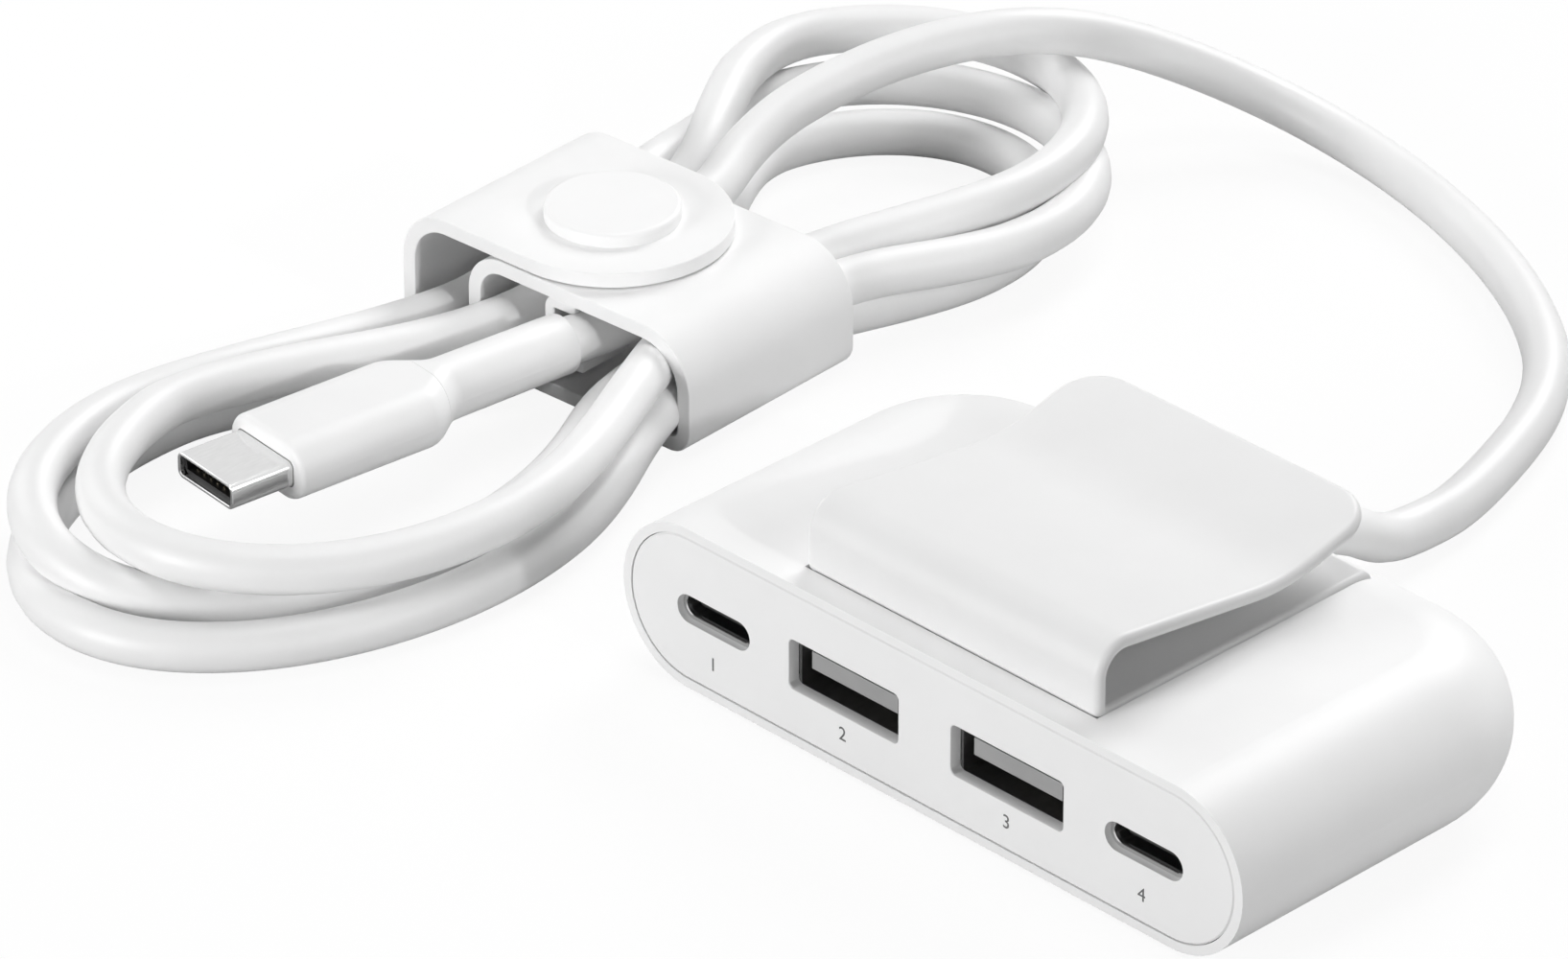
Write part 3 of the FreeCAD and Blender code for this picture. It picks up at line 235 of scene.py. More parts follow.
def plastic(name, low, high, rough, grain, depth):
    """Moulded plastic: cloudy tone, uneven gloss and a fine spark-eroded grain.

    The grain's size and depth are in millimetres.
    """
    material = bpy.data.materials.new(name)
    material.use_nodes = True
    tree = material.node_tree
    shader = tree.nodes["Principled BSDF"]
    shader.inputs["IOR"].default_value = PLASTIC_IOR
    place = tree.nodes.new("ShaderNodeTexCoord")
    cloud = tree.nodes.new("ShaderNodeTexNoise")
    cloud.inputs["Scale"].default_value = 1 / (CLOUD_SIZE * MM)
    cloud.inputs["Detail"].default_value = CLOUD_DETAIL
    tone = tree.nodes.new("ShaderNodeValToRGB")
    for element, position in zip(tone.color_ramp.elements, CLOUD_ENDS):
        element.position = position
    set_tones(tone.color_ramp, low, high)
    gloss = tree.nodes.new("ShaderNodeMapRange")
    gloss.inputs["To Min"].default_value = rough[0]
    gloss.inputs["To Max"].default_value = rough[1]
    fine = tree.nodes.new("ShaderNodeTexNoise")
    fine.inputs["Scale"].default_value = 1 / (grain * MM)
    fine.inputs["Detail"].default_value = GRAIN_DETAIL
    bump = tree.nodes.new("ShaderNodeBump")
    bump.inputs["Strength"].default_value = GRAIN_STRENGTH
    bump.inputs["Distance"].default_value = depth * MM
    links = tree.links
    links.new(place.outputs["Object"], cloud.inputs["Vector"])
    links.new(place.outputs["Object"], fine.inputs["Vector"])
    links.new(cloud.outputs["Fac"], tone.inputs["Fac"])
    links.new(tone.outputs["Color"], shader.inputs["Base Color"])
    links.new(fine.outputs["Fac"], gloss.inputs["Value"])
    links.new(gloss.outputs["Result"], shader.inputs["Roughness"])
    links.new(fine.outputs["Fac"], bump.inputs["Height"])
    links.new(bump.outputs["Normal"], shader.inputs["Normal"])
    return material


def metal(name, low, high, rough, stretch):
    """Drawn metal: fine lines along one axis that change its tone and gloss."""
    material = bpy.data.materials.new(name)
    material.use_nodes = True
    tree = material.node_tree
    shader = tree.nodes["Principled BSDF"]
    shader.inputs["Metallic"].default_value = 1.0
    place = tree.nodes.new("ShaderNodeTexCoord")
    squeeze = tree.nodes.new("ShaderNodeMapping")
    squeeze.inputs["Scale"].default_value = stretch
    lines = tree.nodes.new("ShaderNodeTexNoise")
    lines.inputs["Scale"].default_value = 1 / (DRAWN_LINE * MM)
    lines.inputs["Detail"].default_value = DRAWN_DETAIL
    tone = tree.nodes.new("ShaderNodeValToRGB")
    set_tones(tone.color_ramp, low, high)
    gloss = tree.nodes.new("ShaderNodeMapRange")
    gloss.inputs["To Min"].default_value = rough[0]
    gloss.inputs["To Max"].default_value = rough[1]
    links = tree.links
    links.new(place.outputs["Object"], squeeze.inputs["Vector"])
    links.new(squeeze.outputs["Vector"], lines.inputs["Vector"])
    links.new(lines.outputs["Fac"], tone.inputs["Fac"])
    links.new(tone.outputs["Color"], shader.inputs["Base Color"])
    links.new(lines.outputs["Fac"], gloss.inputs["Value"])
    links.new(gloss.outputs["Result"], shader.inputs["Roughness"])
    return material


def grey(level):
    return (level, level, level)


# Plastics: darkest and lightest tone, range of roughness, size and depth of the grain
PLASTICS = {
    "white_shell": (grey(0.865), grey(0.885), (0.42, 0.52), 0.16, 0.004),
    "white_panel": (grey(0.855), grey(0.875), (0.48, 0.58), 0.14, 0.004),
    "white_clip": (grey(0.82), grey(0.84), (0.4, 0.5), 0.18, 0.004),
    "white_jacket": (grey(0.85), grey(0.88), (0.36, 0.5), 0.3, 0.006),
    "white_strap": (grey(0.86), grey(0.89), (0.55, 0.7), 0.12, 0.006),
    "white_button": (grey(0.875), grey(0.895), (0.4, 0.48), 0.2, 0.003),
    "white_plug": (grey(0.86), grey(0.885), (0.36, 0.46), 0.15, 0.003),
    "black_insert": (grey(0.012), grey(0.02), (0.35, 0.5), 0.12, 0.004),
    # Grey that paints the shade on a white tongue deep in its socket
    "shade_greyed_tongue": (grey(0.3), grey(0.36), (0.4, 0.55), 0.12, 0.004),
    "ink": (grey(0.1), grey(0.14), (0.5, 0.65), 0.1, 0.002),
    "green_board": ((0.01, 0.07, 0.03), (0.015, 0.1, 0.04), (0.3, 0.4), 0.2, 0.004),
    "black_chip": (grey(0.02), grey(0.03), (0.5, 0.65), 0.08, 0.006),
    "grey_ferrite": (grey(0.08), grey(0.12), (0.55, 0.75), 0.1, 0.01),
    "core_colour": ((0.3, 0.02, 0.02), (0.4, 0.03, 0.03), (0.35, 0.5), 0.2, 0.004),
}

# Metals: darkest and lightest tone, range of roughness, stretch of the drawn lines along each axis
METALS = {
    "bright_steel": (grey(0.68), grey(0.76), (0.12, 0.2), (1.0, 0.15, 1.0)),
    "socket_steel": (grey(0.62), grey(0.74), (0.18, 0.3), (1.0, 0.2, 1.0)),
    # Darkened copy of the socket steel, painting the shade inside the USB-A openings
    "shade_darkened_steel": (grey(0.2), grey(0.28), (0.3, 0.42), (1.0, 0.2, 1.0)),
    "gilt_contact": ((0.72, 0.64, 0.48), (0.82, 0.74, 0.58), (0.18, 0.3), (1.0, 0.2, 1.0)),
    "can_metal": (grey(0.6), grey(0.75), (0.25, 0.35), (1.0, 1.0, 0.2)),
}

# Finishes: one for each slot of the part, and three of the scene's own (a tongue grey of painted
# shade, ink, a steel darkened as painted shade)
FINISHES = {name: plastic(name, *look) for name, look in PLASTICS.items()}
FINISHES.update({name: metal(name, *look) for name, look in METALS.items()})
SIDES = ("left", "right")


def finish_piece(piece, slot):
    """The piece moves with the part and takes the finish of a slot."""
    piece.data.materials.clear()
    piece.data.materials.append(FINISHES[slot])
    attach(piece, "root")


def dress_nodes():
    """Each carried node gets the finish of the slot that its packed material names.

    The USB-A sockets get painted shade: a darkened copy of the socket steel on their shells, and on
    their tongues a grey that stands for white plastic in shade.
    """
    for node in nodes.values():
        for holder in node.material_slots:
            holder.material = FINISHES[holder.material.name.split(".")[0]]
    for side in SIDES:
        # Painted shade: the USB-A tongues and shells take darker finishes than their packed slots
        nodes[f"usb_a_insert_{side}"].material_slots[0].material = FINISHES["shade_greyed_tongue"]
        nodes[f"usb_a_shell_{side}"].material_slots[0].material = FINISHES["shade_darkened_steel"]


def new_piece(name, bm):
    """Object from a mesh in millimetres, with its faces turned outwards and shaded smooth."""
    bmesh.ops.recalc_face_normals(bm, faces=bm.faces)
    bmesh.ops.scale(bm, vec=(MM, MM, MM), verts=bm.verts)
    for face in bm.faces:
        face.smooth = True
    mesh = bpy.data.meshes.new(name)
    bm.to_mesh(mesh)
    bm.free()
    piece = bpy.data.objects.new(name, mesh)
    collection.objects.link(piece)
    return piece


def mark_sharp(piece, limit):
    """Keeps the edges sharper than a limit in degrees out of the smooth shading."""
    piece.data.set_sharp_from_angle(angle=math.radians(limit))


def round_edges(piece, width, segments=4, limit=40.0):
    """Rounds the edges sharper than a limit in degrees, by a width in millimetres."""
    bevel = piece.modifiers.new("edge_rounding", "BEVEL")
    bevel.width = width * MM
    bevel.segments = segments
    bevel.limit_method = "ANGLE"
    bevel.angle_limit = math.radians(limit)
    bevel.harden_normals = True


# Slack for distances that run to the very end of a line
ROUNDING = 1e-9


class Line:
    """Flat line with rounded corners, which gives its point and normal at any distance along it."""

    def __init__(self, corners, radii, steps=12):
        spots = [Vector(corner) for corner in corners]
        self.points = [spots[0]]
        for before, corner, after, radius in zip(spots, spots[1:], spots[2:], radii):
            arriving = (corner - before).normalized()
            leaving = (after - corner).normalized()
            turn = arriving.angle(leaving)
            setback = radius * math.tan(turn / 2)
            sense = 1.0 if arriving.cross(leaving) > 0 else -1.0
            first = corner - arriving * setback
            centre = first + Vector((-arriving.y, arriving.x)) * radius * sense
            for step in range(steps + 1):
                swing = Matrix.Rotation(sense * turn * step / steps, 2)
                self.points.append(centre + swing @ (first - centre))
        self.points.append(spots[-1])
        self.reach = [0.0]
        for start, end in zip(self.points, self.points[1:]):
            self.reach.append(self.reach[-1] + (end - start).length)
        self.length = self.reach[-1]

    def normal(self, index):
        before = self.points[max(index - 1, 0)]
        after = self.points[min(index + 1, len(self.points) - 1)]
        arriving = (self.points[index] - before).normalized()
        leaving = (after - self.points[index]).normalized()
        along = (arriving + leaving).normalized()
        return Vector((-along.y, along.x))

    def at(self, distance):
        for index, (start, end) in enumerate(zip(self.reach, self.reach[1:])):
            if distance <= end + ROUNDING:
                break
        share = (distance - start) / (end - start)
        spot = self.points[index].lerp(self.points[index + 1], share)
        return spot, self.normal(index).lerp(self.normal(index + 1), share).normalized()


def ribbon(line, rows, thickness, place):
    """Closed sheet along a line.

    Each row is a list of pairs: distance along the line, and place across it.
    """
    bm = bmesh.new()
    layers = []
    for side in (0.5, -0.5):
        layer = []
        for row in rows:
            verts = []
            for distance, across in row:
                spot, normal = line.at(distance)
                spot = spot + normal * side * thickness
                verts.append(bm.verts.new(place(spot, across)))
            layer.append(verts)
        layers.append(layer)
    top, bottom = layers
    last_row, last_column = len(rows) - 1, len(rows[0]) - 1
    for layer in layers:
        for low, high in zip(layer, layer[1:]):
            for column in range(last_column):
                bm.faces.new((low[column], low[column + 1], high[column + 1], high[column]))
    for row in range(last_row):
        for column in (0, last_column):
            over = (top[row][column], top[row + 1][column])
            under = (bottom[row + 1][column], bottom[row][column])
            bm.faces.new(over + under)
    for column in range(last_column):
        for row in (0, last_row):
            over = (top[row][column], top[row][column + 1])
            under = (bottom[row][column + 1], bottom[row][column])
            bm.faces.new(over + under)
    return bm


def spread(low, high, count):
    """A number of even steps from one value to another."""
    return [low + (high - low) * index / (count - 1) for index in range(count)]


# Strap: middle line of its band across the hank, from the tab's tip to the curled end
STRAP_WIDTH = 22.5
STRAP_THICKNESS = 1.5
STRAP_EDGE = 0.38
STRAP_CORNERS = [
    (9.9, 12.8),
    (-16.7, 12.8),
    (-16.7, 0.75),
    (17.5, 0.75),
    (17.5, 11.15),
    (-8.4, 11.15),
    (-8.4, 5.0),
]
STRAP_RADII = [4.6, 2.65, 1.7, 5.0, 3.4]
STRAP_COLUMNS = 25
TAB_RINGS = 13
TAB_GAP = 0.1
CURL_SLANT = 2.0


def make_strap():
    """Soft band round the hank, with a half-round tab on top and its inner end curled down."""
    line = Line(STRAP_CORNERS, STRAP_RADII)
    half = STRAP_WIDTH / 2
    columns = spread(-1.0, 1.0, STRAP_COLUMNS)
    rows = []
    for ring in spread(1.0, 0.0, TAB_RINGS):
        row = []
        for column in columns:
            reach = half * ring * math.sqrt(1 - column * column / 2)
            row.append((half - reach, half * column * math.sqrt(1 - ring * ring / 2)))
        rows.append(row)
    for distance in line.reach[:-1]:
        if distance > half + TAB_GAP:
            rows.append([(distance, half * column) for column in columns])
    slants = [CURL_SLANT * (column + 1) / 2 for column in columns]
    rows.append([(line.length - slant, half * column) for slant, column in zip(slants, columns)])
    bm = ribbon(line, rows, STRAP_THICKNESS, band_point)
    strap = new_piece("strap", bm)
    round_edges(strap, STRAP_EDGE)
    finish_piece(strap, "white_strap")
    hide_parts("cord_strap")
    return strap


# Grip for the cord: a hook round its far side, under the strap's inner lap at the left edge
GRIP_CORNERS = [(4.1, 9.95), (0.85, 9.95), (0.85, 4.3), (5.0, 4.3)]
GRIP_RADII = [0.75, 2.6]
GRIP_THICKNESS = 1.2
GRIP_EDGE = 0.3
GRIP_SPAN = (-11.1, -5.25)
GRIP_COLUMNS = 7


def make_grip():
    """Hook on the strap that holds the plug's strand."""
    line = Line(GRIP_CORNERS, GRIP_RADII)
    columns = spread(*GRIP_SPAN, GRIP_COLUMNS)
    rows = [[(distance, across) for across in columns] for distance in line.reach]
    bm = ribbon(line, rows, GRIP_THICKNESS, band_point)
    grip = new_piece("strap_grip", bm)
    round_edges(grip, GRIP_EDGE)
    finish_piece(grip, "white_strap")
    return grip


# Plug, in its own frame along its length from the cord: the turn of that frame, sections of the
# sleeve and the neck as place and radius, the full section as place, half width and half height,
# and the seam as place and depth. Half sizes stand as width and height.
PLUG_TURN = math.radians(-95.6)
PLUG_SLEEVE = [
    (0.0, 2.2),
    (0.0, 2.6),
    (0.03, 2.72),
    (0.12, 2.82),
    (0.3, 2.88),
    (6.0, 2.91),
    (13.0, 2.95),
]
PLUG_NECK = (13.6, 2.97)
PLUG_FULL = (18.4, 5.55, 3.0)
PLUG_SEAM = (15.9, 0.05)
PLUG_FRONT = 33.4
PLUG_FRONT_RADIUS = 0.6
PLUG_MOUTH = (4.25, 1.36)
PLUG_RECESS = 0.4
PLUG_SHARP = 50.0
SHOULDER_STEPS = 25
FRONT_STEPS = 9
SHELL_END = 40.1
SHELL_HALF = (4.17, 1.28)
SHELL_CORNER = 0.72
SHELL_WALL = 0.34
SHELL_BORE = 34.2
ROLL_STEPS = 13
ARC_STEPS = 12
# Spare width that keeps the two sides of a round section apart
SLIM = 0.02


def oblong(half_width, half_height, corner):
    """Ring of points round a rectangle with rounded corners."""
    ring = []
    for across_sign, up_sign, start in ((1, 1, 0), (-1, 1, 90), (-1, -1, 180), (1, -1, 270)):
        for step in range(ARC_STEPS + 1):
            angle = math.radians(start + 90 * step / ARC_STEPS)
            across = across_sign * (half_width - corner) + corner * math.cos(angle)
            up = up_sign * (half_height - corner) + corner * math.sin(angle)
            ring.append((across, up))
    return ring


def plug_point(along, across, up):
    """Point of the plug's own frame, in the part's frame."""
    x = PLUG_START[0] + along * math.cos(PLUG_TURN) - across * math.sin(PLUG_TURN)
    y = PLUG_START[1] + along * math.sin(PLUG_TURN) + across * math.cos(PLUG_TURN)
    return (x, y, PLUG_START[2] + up)


def loft(bm, sections, closed, place):
    """Skin through rings in their order, closed on itself or with a cap at each end."""
    rings = [[bm.verts.new(place(along, *spot)) for spot in ring] for along, ring in sections]
    pairs = list(zip(rings, rings[1:]))
    if closed:
        pairs.append((rings[-1], rings[0]))
    count = len(rings[0])
    for low, high in pairs:
        for index in range(count):
            after = (index + 1) % count
            bm.faces.new((low[index], low[after], high[after], high[index]))
    if not closed:
        bm.faces.new(rings[0])
        bm.faces.new(rings[-1])


def make_plug_cover():
    """Moulded cover of the plug: sleeve, shoulder, round-fronted body and the shell's seat."""
    sections = [(along, oblong(radius + SLIM, radius, radius)) for along, radius in PLUG_SLEEVE]
    (neck, neck_radius), (full, half_width, half_height) = PLUG_NECK, PLUG_FULL
    seam, seam_depth = PLUG_SEAM
    stations = [(share, 0.0) for share in spread(0.0, 1.0, SHOULDER_STEPS)]
    middle = (seam - neck) / (full - neck)
    half_seam = seam_depth / (full - neck)
    stations += [(middle - half_seam, 0.0), (middle, seam_depth), (middle + half_seam, 0.0)]
    for share, groove in sorted(stations):
        growth = share * share * (3 - 2 * share)
        wide = neck_radius + (half_width - neck_radius) * growth + SLIM - groove
        high = neck_radius + (half_height - neck_radius) * growth - groove
        sections.append((neck + (full - neck) * share, oblong(wide, high, high)))
    for angle in spread(0.0, math.pi / 2, FRONT_STEPS):
        inset = PLUG_FRONT_RADIUS * (1 - math.cos(angle))
        along = PLUG_FRONT - PLUG_FRONT_RADIUS * (1 - math.sin(angle))
        high = half_height - inset
        sections.append((along, oblong(half_width - inset, high, high)))
    mouth = oblong(*PLUG_MOUTH, SHELL_CORNER)
    sections += [(PLUG_FRONT, mouth), (PLUG_FRONT - PLUG_RECESS, mouth)]
    bm = bmesh.new()
    loft(bm, sections, False, plug_point)
    cover = new_piece("plug_cover", bm)
    mark_sharp(cover, PLUG_SHARP)
    finish_piece(cover, "white_plug")
    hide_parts("plug_strain_relief", "plug_body")
    return cover


def make_plug_shell():
    """Metal shell of the plug: a drawn sleeve with a rolled edge round its mouth."""
    half_width, half_height = SHELL_HALF
    roll = SHELL_WALL / 2
    start = PLUG_FRONT - PLUG_RECESS
    sections = [(start, oblong(half_width, half_height, SHELL_CORNER))]
    for angle in spread(0.0, math.pi, ROLL_STEPS):
        inset = roll * (1 - math.cos(angle))
        along = SHELL_END - roll + roll * math.sin(angle)
        ring = oblong(half_width - inset, half_height - inset, SHELL_CORNER - inset)
        sections.append((along, ring))
    bore = oblong(half_width - SHELL_WALL, half_height - SHELL_WALL, SHELL_CORNER - SHELL_WALL)
    sections += [(SHELL_BORE, bore), (start, bore)]
    bm = bmesh.new()
    loft(bm, sections, True, plug_point)
    shell = new_piece("plug_sleeve", bm)
    mark_sharp(shell, PLUG_SHARP)
    finish_piece(shell, "bright_steel")
    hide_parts("plug_shell")
    return shell


# Linings of the port openings, by port: slot, half sizes and corner radius outside and then inside,
# and the front edge's Y. The panel's face and the linings' back are Y too, and a corner of the
# radius called square is all but sharp.
PANEL_FRONT = -21.0
LINING_BACK = -19.8
SQUARE = 0.02
LININGS = {
    "usb_a": ("white_panel", (6.695, 2.53, SQUARE), (6.62, 2.455, 0.55), PANEL_FRONT),
    "usb_c": ("socket_steel", (4.46, 1.36, 1.36), (4.1, 1.0, 1.0), -20.3),
}
LINING_EDGE = 0.1
LINING_SHARP = 30.0


def make_linings():
    """Rounded plastic lining in each USB-A opening, and a rolled metal mouth in each USB-C one."""
    level = sum(corner.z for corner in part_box("usb_a_shell_left")) / 2 / MM
    for port, (slot, outside, inside, front) in LININGS.items():
        half_width, half_height, corner_radius = inside
        outer = oblong(*outside)
        inner = oblong(*inside)
        ease = LINING_EDGE / 2
        eased = oblong(half_width + ease, half_height + ease, corner_radius)
        sections = [(LINING_BACK, outer), (front, outer), (front, eased)]
        sections += [(front + LINING_EDGE, inner), (LINING_BACK, inner)]
        bm = bmesh.new()
        for side in SIDES:
            middle = sum(corner.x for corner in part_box(f"{port}_shell_{side}")) / 2 / MM

            def place(along, across, up, middle=middle):
                return (middle + across, along, level + up)

            loft(bm, sections, True, place)
        lining = new_piece(f"{port}_lining", bm)
        mark_sharp(lining, LINING_SHARP)
        finish_piece(lining, slot)


# Port numbers under the openings, as places along the panel
NUMBER_PLACES = (-25.8, -9.85, 9.8, 25.6)
NUMBER_LEVEL = 3.05
NUMBER_SIZE = 1.9
NUMBER_DEPTH = 0.03


def make_numbers():
    """Small printed figures on the panel, one under each port."""
    bm = bmesh.new()
    for index, place in enumerate(NUMBER_PLACES):
        text = bpy.data.curves.new("figure", "FONT")
        text.body = str(index + 1)
        text.size = NUMBER_SIZE
        text.extrude = NUMBER_DEPTH / 2
        text.align_x = "CENTER"
        figure = bpy.data.objects.new("figure", text)
        mesh = bpy.data.meshes.new_from_object(figure)
        upright = Matrix.Rotation(math.pi / 2, 4, "X")
        mesh.transform(Matrix.Translation((place, PANEL_FRONT, NUMBER_LEVEL)) @ upright)
        bm.from_mesh(mesh)
        bpy.data.meshes.remove(mesh)
        bpy.data.objects.remove(figure)
    numbers = new_piece("port_numbers", bm)
    for face in numbers.data.polygons:
        face.use_smooth = False
    numbers.data.materials.append(FINISHES["ink"])
    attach(numbers, "root")


# Clip: middle line of its section, from the base plate's rear edge to the tail
CLIP_HALF_WIDTH = 17.35
CLIP_THICKNESS = 1.38
CLIP_CORNERS = [(15.5, 15.66), (-17.4, 15.66), (-17.4, 22.256), (5.1, 19.1), (16.8, 21.9)]
CLIP_RADII = [0.9, 2.7, 20.0]
CLIP_TAIL_RADIUS = 4.5
CLIP_COLUMNS = 17
TAIL_STEPS = 15
BORDER_STEPS = 15


def soft_sheet(line, rows, radius, place):
    """Closed sheet with a fully rounded border round the rows of its flat part."""
    bm = bmesh.new()

    def corner(distance, across, side):
        spot, normal = line.at(distance)
        return bm.verts.new(place(spot + normal * side, across))

    last_row, last_column = len(rows) - 1, len(rows[0]) - 1
    border = [(0, column) for column in range(last_column)]
    border += [(row, last_column) for row in range(last_row)]
    border += [(last_row, column) for column in range(last_column, 0, -1)]
    border += [(row, 0) for row in range(last_row, 0, -1)]
    rings = []
    for side in (radius, -radius):
        layer = [[corner(distance, across, side) for distance, across in row] for row in rows]
        for low, high in zip(layer, layer[1:]):
            for column in range(last_column):
                bm.faces.new((low[column], low[column + 1], high[column + 1], high[column]))
        rings.append([layer[row][column] for row, column in border])
    spots = [Vector(rows[row][column]) for row, column in border]
    count = len(spots)
    outward = []
    for index, spot in enumerate(spots):
        arriving = (spot - spots[index - 1]).normalized()
        leaving = (spots[(index + 1) % count] - spot).normalized()
        along = (arriving + leaving).normalized()
        outward.append(Vector((-along.y, along.x)) / along.dot(arriving))
    for angle in spread(math.pi / 2, -math.pi / 2, BORDER_STEPS)[1:-1]:
        ring = []
        for spot, away in zip(spots, outward):
            edge = spot + away * radius * math.cos(angle)
            ring.append(corner(edge.x, edge.y, radius * math.sin(angle)))
        rings.insert(-1, ring)
    for low, high in zip(rings, rings[1:]):
        for index in range(count):
            after = (index + 1) % count
            bm.faces.new((low[index], low[after], high[after], high[index]))
    return bm


def make_clip():
    """Spring clip in one bent sheet: base plate, front wall, lever, tail with round corners."""
    line = Line(CLIP_CORNERS, CLIP_RADII)
    radius = CLIP_THICKNESS / 2
    half = CLIP_HALF_WIDTH - radius
    bend = CLIP_TAIL_RADIUS - radius
    tail = line.length - CLIP_TAIL_RADIUS
    columns = spread(-1.0, 1.0, CLIP_COLUMNS)
    inner = [distance for distance in line.reach if 2 * radius < distance < tail - radius]
    distances = [radius] + inner
    rows = [[(distance, half * column) for column in columns] for distance in distances]
    for angle in spread(0.0, math.pi / 2, TAIL_STEPS):
        width = half - bend * (1 - math.cos(angle))
        rows.append([(tail + bend * math.sin(angle), width * column) for column in columns])

    def place(spot, across):
        return (across, spot.x, spot.y)

    bm = soft_sheet(line, rows, radius, place)
    clip = new_piece("clip", bm)
    clip.modifiers.new("flat_faces", "WEIGHTED_NORMAL")
    finish_piece(clip, "white_clip")
    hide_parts("spring_clip")
    return clip


# Light: level of the ambient light, and lamps as name, place, aim, size, beam and power.
# A beam in degrees makes a spot, and 0 a soft disk.
WHITE = (1.0, 1.0, 1.0, 1.0)
AMBIENT = 0.01
BACKDROP = 1.0
LAMP_AIM = (-0.03, 0.02, 0.0)
HANK_AIM = (-0.068, 0.008, 0.004)
SPOT_BLEND = 0.3
LAMPS = [
    ("overhead", (-0.05, 0.1, 1.1), LAMP_AIM, 0.5, 0.0, 3.2),
    ("front", (-0.2, -1.1, 0.25), LAMP_AIM, 0.5, 0.0, 8.8),
    ("right", (1.1, 0.2, 0.6), LAMP_AIM, 0.6, 0.0, 2.5),
    ("right_all", (1.1, 0.35, 0.75), LAMP_AIM, 0.6, 0.0, 1.0),
    ("right_low", (1.1, -0.15, 0.15), LAMP_AIM, 0.4, 0.0, 1.4),
    ("right_spot", (1.0, 0.0, 0.5), HANK_AIM, 0.06, 4.6, 11.0),
    ("back", (-0.3, 1.0, 0.8), LAMP_AIM, 0.7, 0.0, 10.2),
    ("left", (-1.1, 0.0, 0.6), LAMP_AIM, 0.7, 0.0, 2.8),
]
# Lamps kept off the clip, so that the space under its lever stays dark
FLAGGED_LAMPS = ("right_low", "right")


def make_world():
    """White to the camera and in reflections, and a faint ambient light on everything else."""
    world = bpy.data.worlds.new("studio")
    bpy.context.scene.world = world
    world.use_nodes = True
    tree = world.node_tree
    tree.nodes.clear()
    rays = tree.nodes.new("ShaderNodeLightPath")
    first = tree.nodes.new("ShaderNodeMath")
    first.operation = "MAXIMUM"
    second = tree.nodes.new("ShaderNodeMath")
    second.operation = "MAXIMUM"
    ambient = tree.nodes.new("ShaderNodeBackground")
    ambient.inputs["Color"].default_value = WHITE
    ambient.inputs["Strength"].default_value = AMBIENT
    backdrop = tree.nodes.new("ShaderNodeBackground")
    backdrop.inputs["Color"].default_value = WHITE
    backdrop.inputs["Strength"].default_value = BACKDROP
    mix = tree.nodes.new("ShaderNodeMixShader")
    out = tree.nodes.new("ShaderNodeOutputWorld")
    links = tree.links
    links.new(rays.outputs["Is Camera Ray"], first.inputs[0])
    links.new(rays.outputs["Is Glossy Ray"], first.inputs[1])
    links.new(first.outputs[0], second.inputs[0])
    links.new(rays.outputs["Is Transmission Ray"], second.inputs[1])
    links.new(second.outputs[0], mix.inputs["Fac"])
    links.new(ambient.outputs[0], mix.inputs[1])
    links.new(backdrop.outputs[0], mix.inputs[2])
    links.new(mix.outputs[0], out.inputs["Surface"])


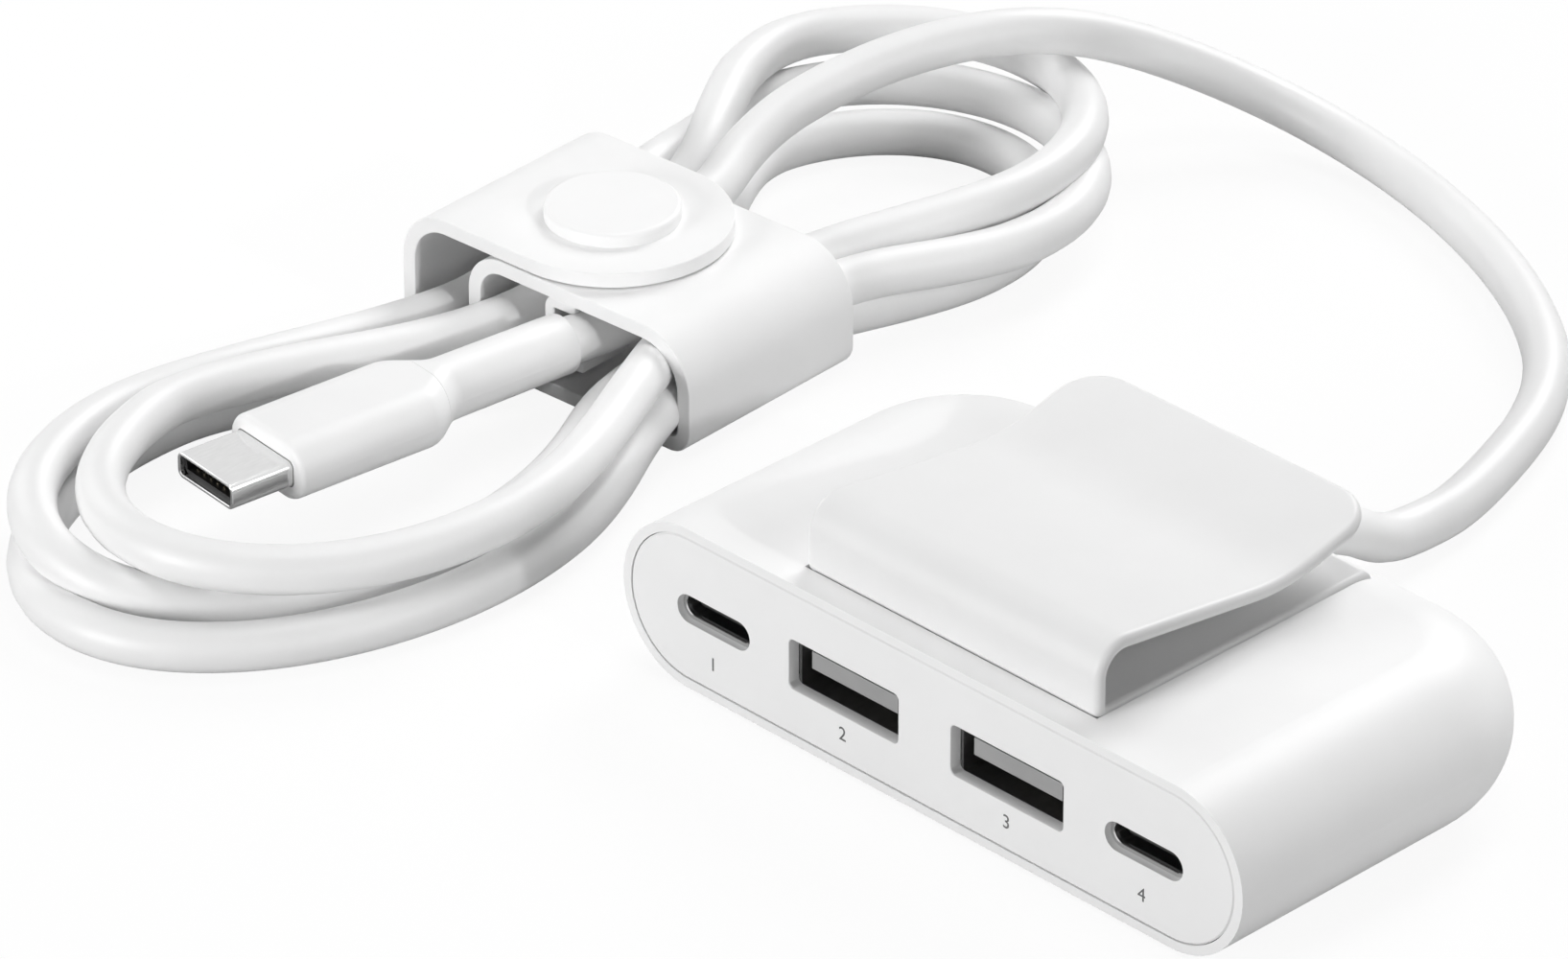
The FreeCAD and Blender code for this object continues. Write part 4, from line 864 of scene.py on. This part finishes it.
def make_lamps(flagged_piece):
    """Studio lamps, of which some leave one piece out."""
    shade = bpy.data.collections.new("flagged")
    shade.objects.link(flagged_piece)
    shade.collection_objects[0].light_linking.link_state = "EXCLUDE"
    for name, place, aim, size, beam, power in LAMPS:
        lamp = bpy.data.lights.new(name, "SPOT" if beam else "AREA")
        if beam:
            lamp.spot_size = math.radians(beam)
            lamp.spot_blend = SPOT_BLEND
            lamp.shadow_soft_size = size / 2
        else:
            lamp.shape = "DISK"
            lamp.size = size
        lamp.energy = power
        thing = bpy.data.objects.new(name, lamp)
        collection.objects.link(thing)
        direction = Vector(aim) - Vector(place)
        thing.location = place
        thing.rotation_euler = direction.to_track_quat("-Z", "Y").to_euler()
        if name in FLAGGED_LAMPS:
            thing.light_linking.receiver_collection = shade


# Floor: side and depth in metres, its tone in bounced light, and its glow to the camera
FLOOR_SIDE = 4.0
FLOOR_DROP = 0.0002
FLOOR_CELLS = 4
FLOOR_WHITE = 0.6
FLOOR_GLOW = 0.85
FLOOR_LEVEL = 1.07


def make_floor():
    """Pale floor: white to the camera, with a light shadow of the part left on it."""
    bm = bmesh.new()
    cells = {"x_segments": FLOOR_CELLS, "y_segments": FLOOR_CELLS}
    bmesh.ops.create_grid(bm, **cells, size=FLOOR_SIDE / 2)
    mesh = bpy.data.meshes.new("floor")
    bm.to_mesh(mesh)
    bm.free()
    floor = bpy.data.objects.new("floor", mesh)
    floor.location = (0.0, 0.0, -FLOOR_DROP)
    collection.objects.link(floor)
    material = bpy.data.materials.new("floor")
    material.use_nodes = True
    tree = material.node_tree
    tree.nodes.clear()
    matt = tree.nodes.new("ShaderNodeBsdfDiffuse")
    matt.inputs["Color"].default_value = (*grey(FLOOR_WHITE), 1.0)
    glow = tree.nodes.new("ShaderNodeEmission")
    glow.inputs["Strength"].default_value = FLOOR_LEVEL
    rays = tree.nodes.new("ShaderNodeLightPath")
    share = tree.nodes.new("ShaderNodeMath")
    share.operation = "MULTIPLY"
    share.inputs[1].default_value = FLOOR_GLOW
    mix = tree.nodes.new("ShaderNodeMixShader")
    out = tree.nodes.new("ShaderNodeOutputMaterial")
    links = tree.links
    links.new(rays.outputs["Is Camera Ray"], share.inputs[0])
    links.new(share.outputs[0], mix.inputs["Fac"])
    links.new(matt.outputs[0], mix.inputs[1])
    links.new(glow.outputs[0], mix.inputs[2])
    links.new(mix.outputs[0], out.inputs["Surface"])
    floor.data.materials.append(material)


bpy.context.scene.view_settings.view_transform = "Standard"
make_camera()
cord = make_cord()
strap = make_strap()
grip = make_grip()
plug_pieces = [make_plug_cover(), make_plug_shell()]
clip = make_clip()
make_linings()
make_numbers()
dress_nodes()
make_world()
make_lamps(clip)
make_floor()
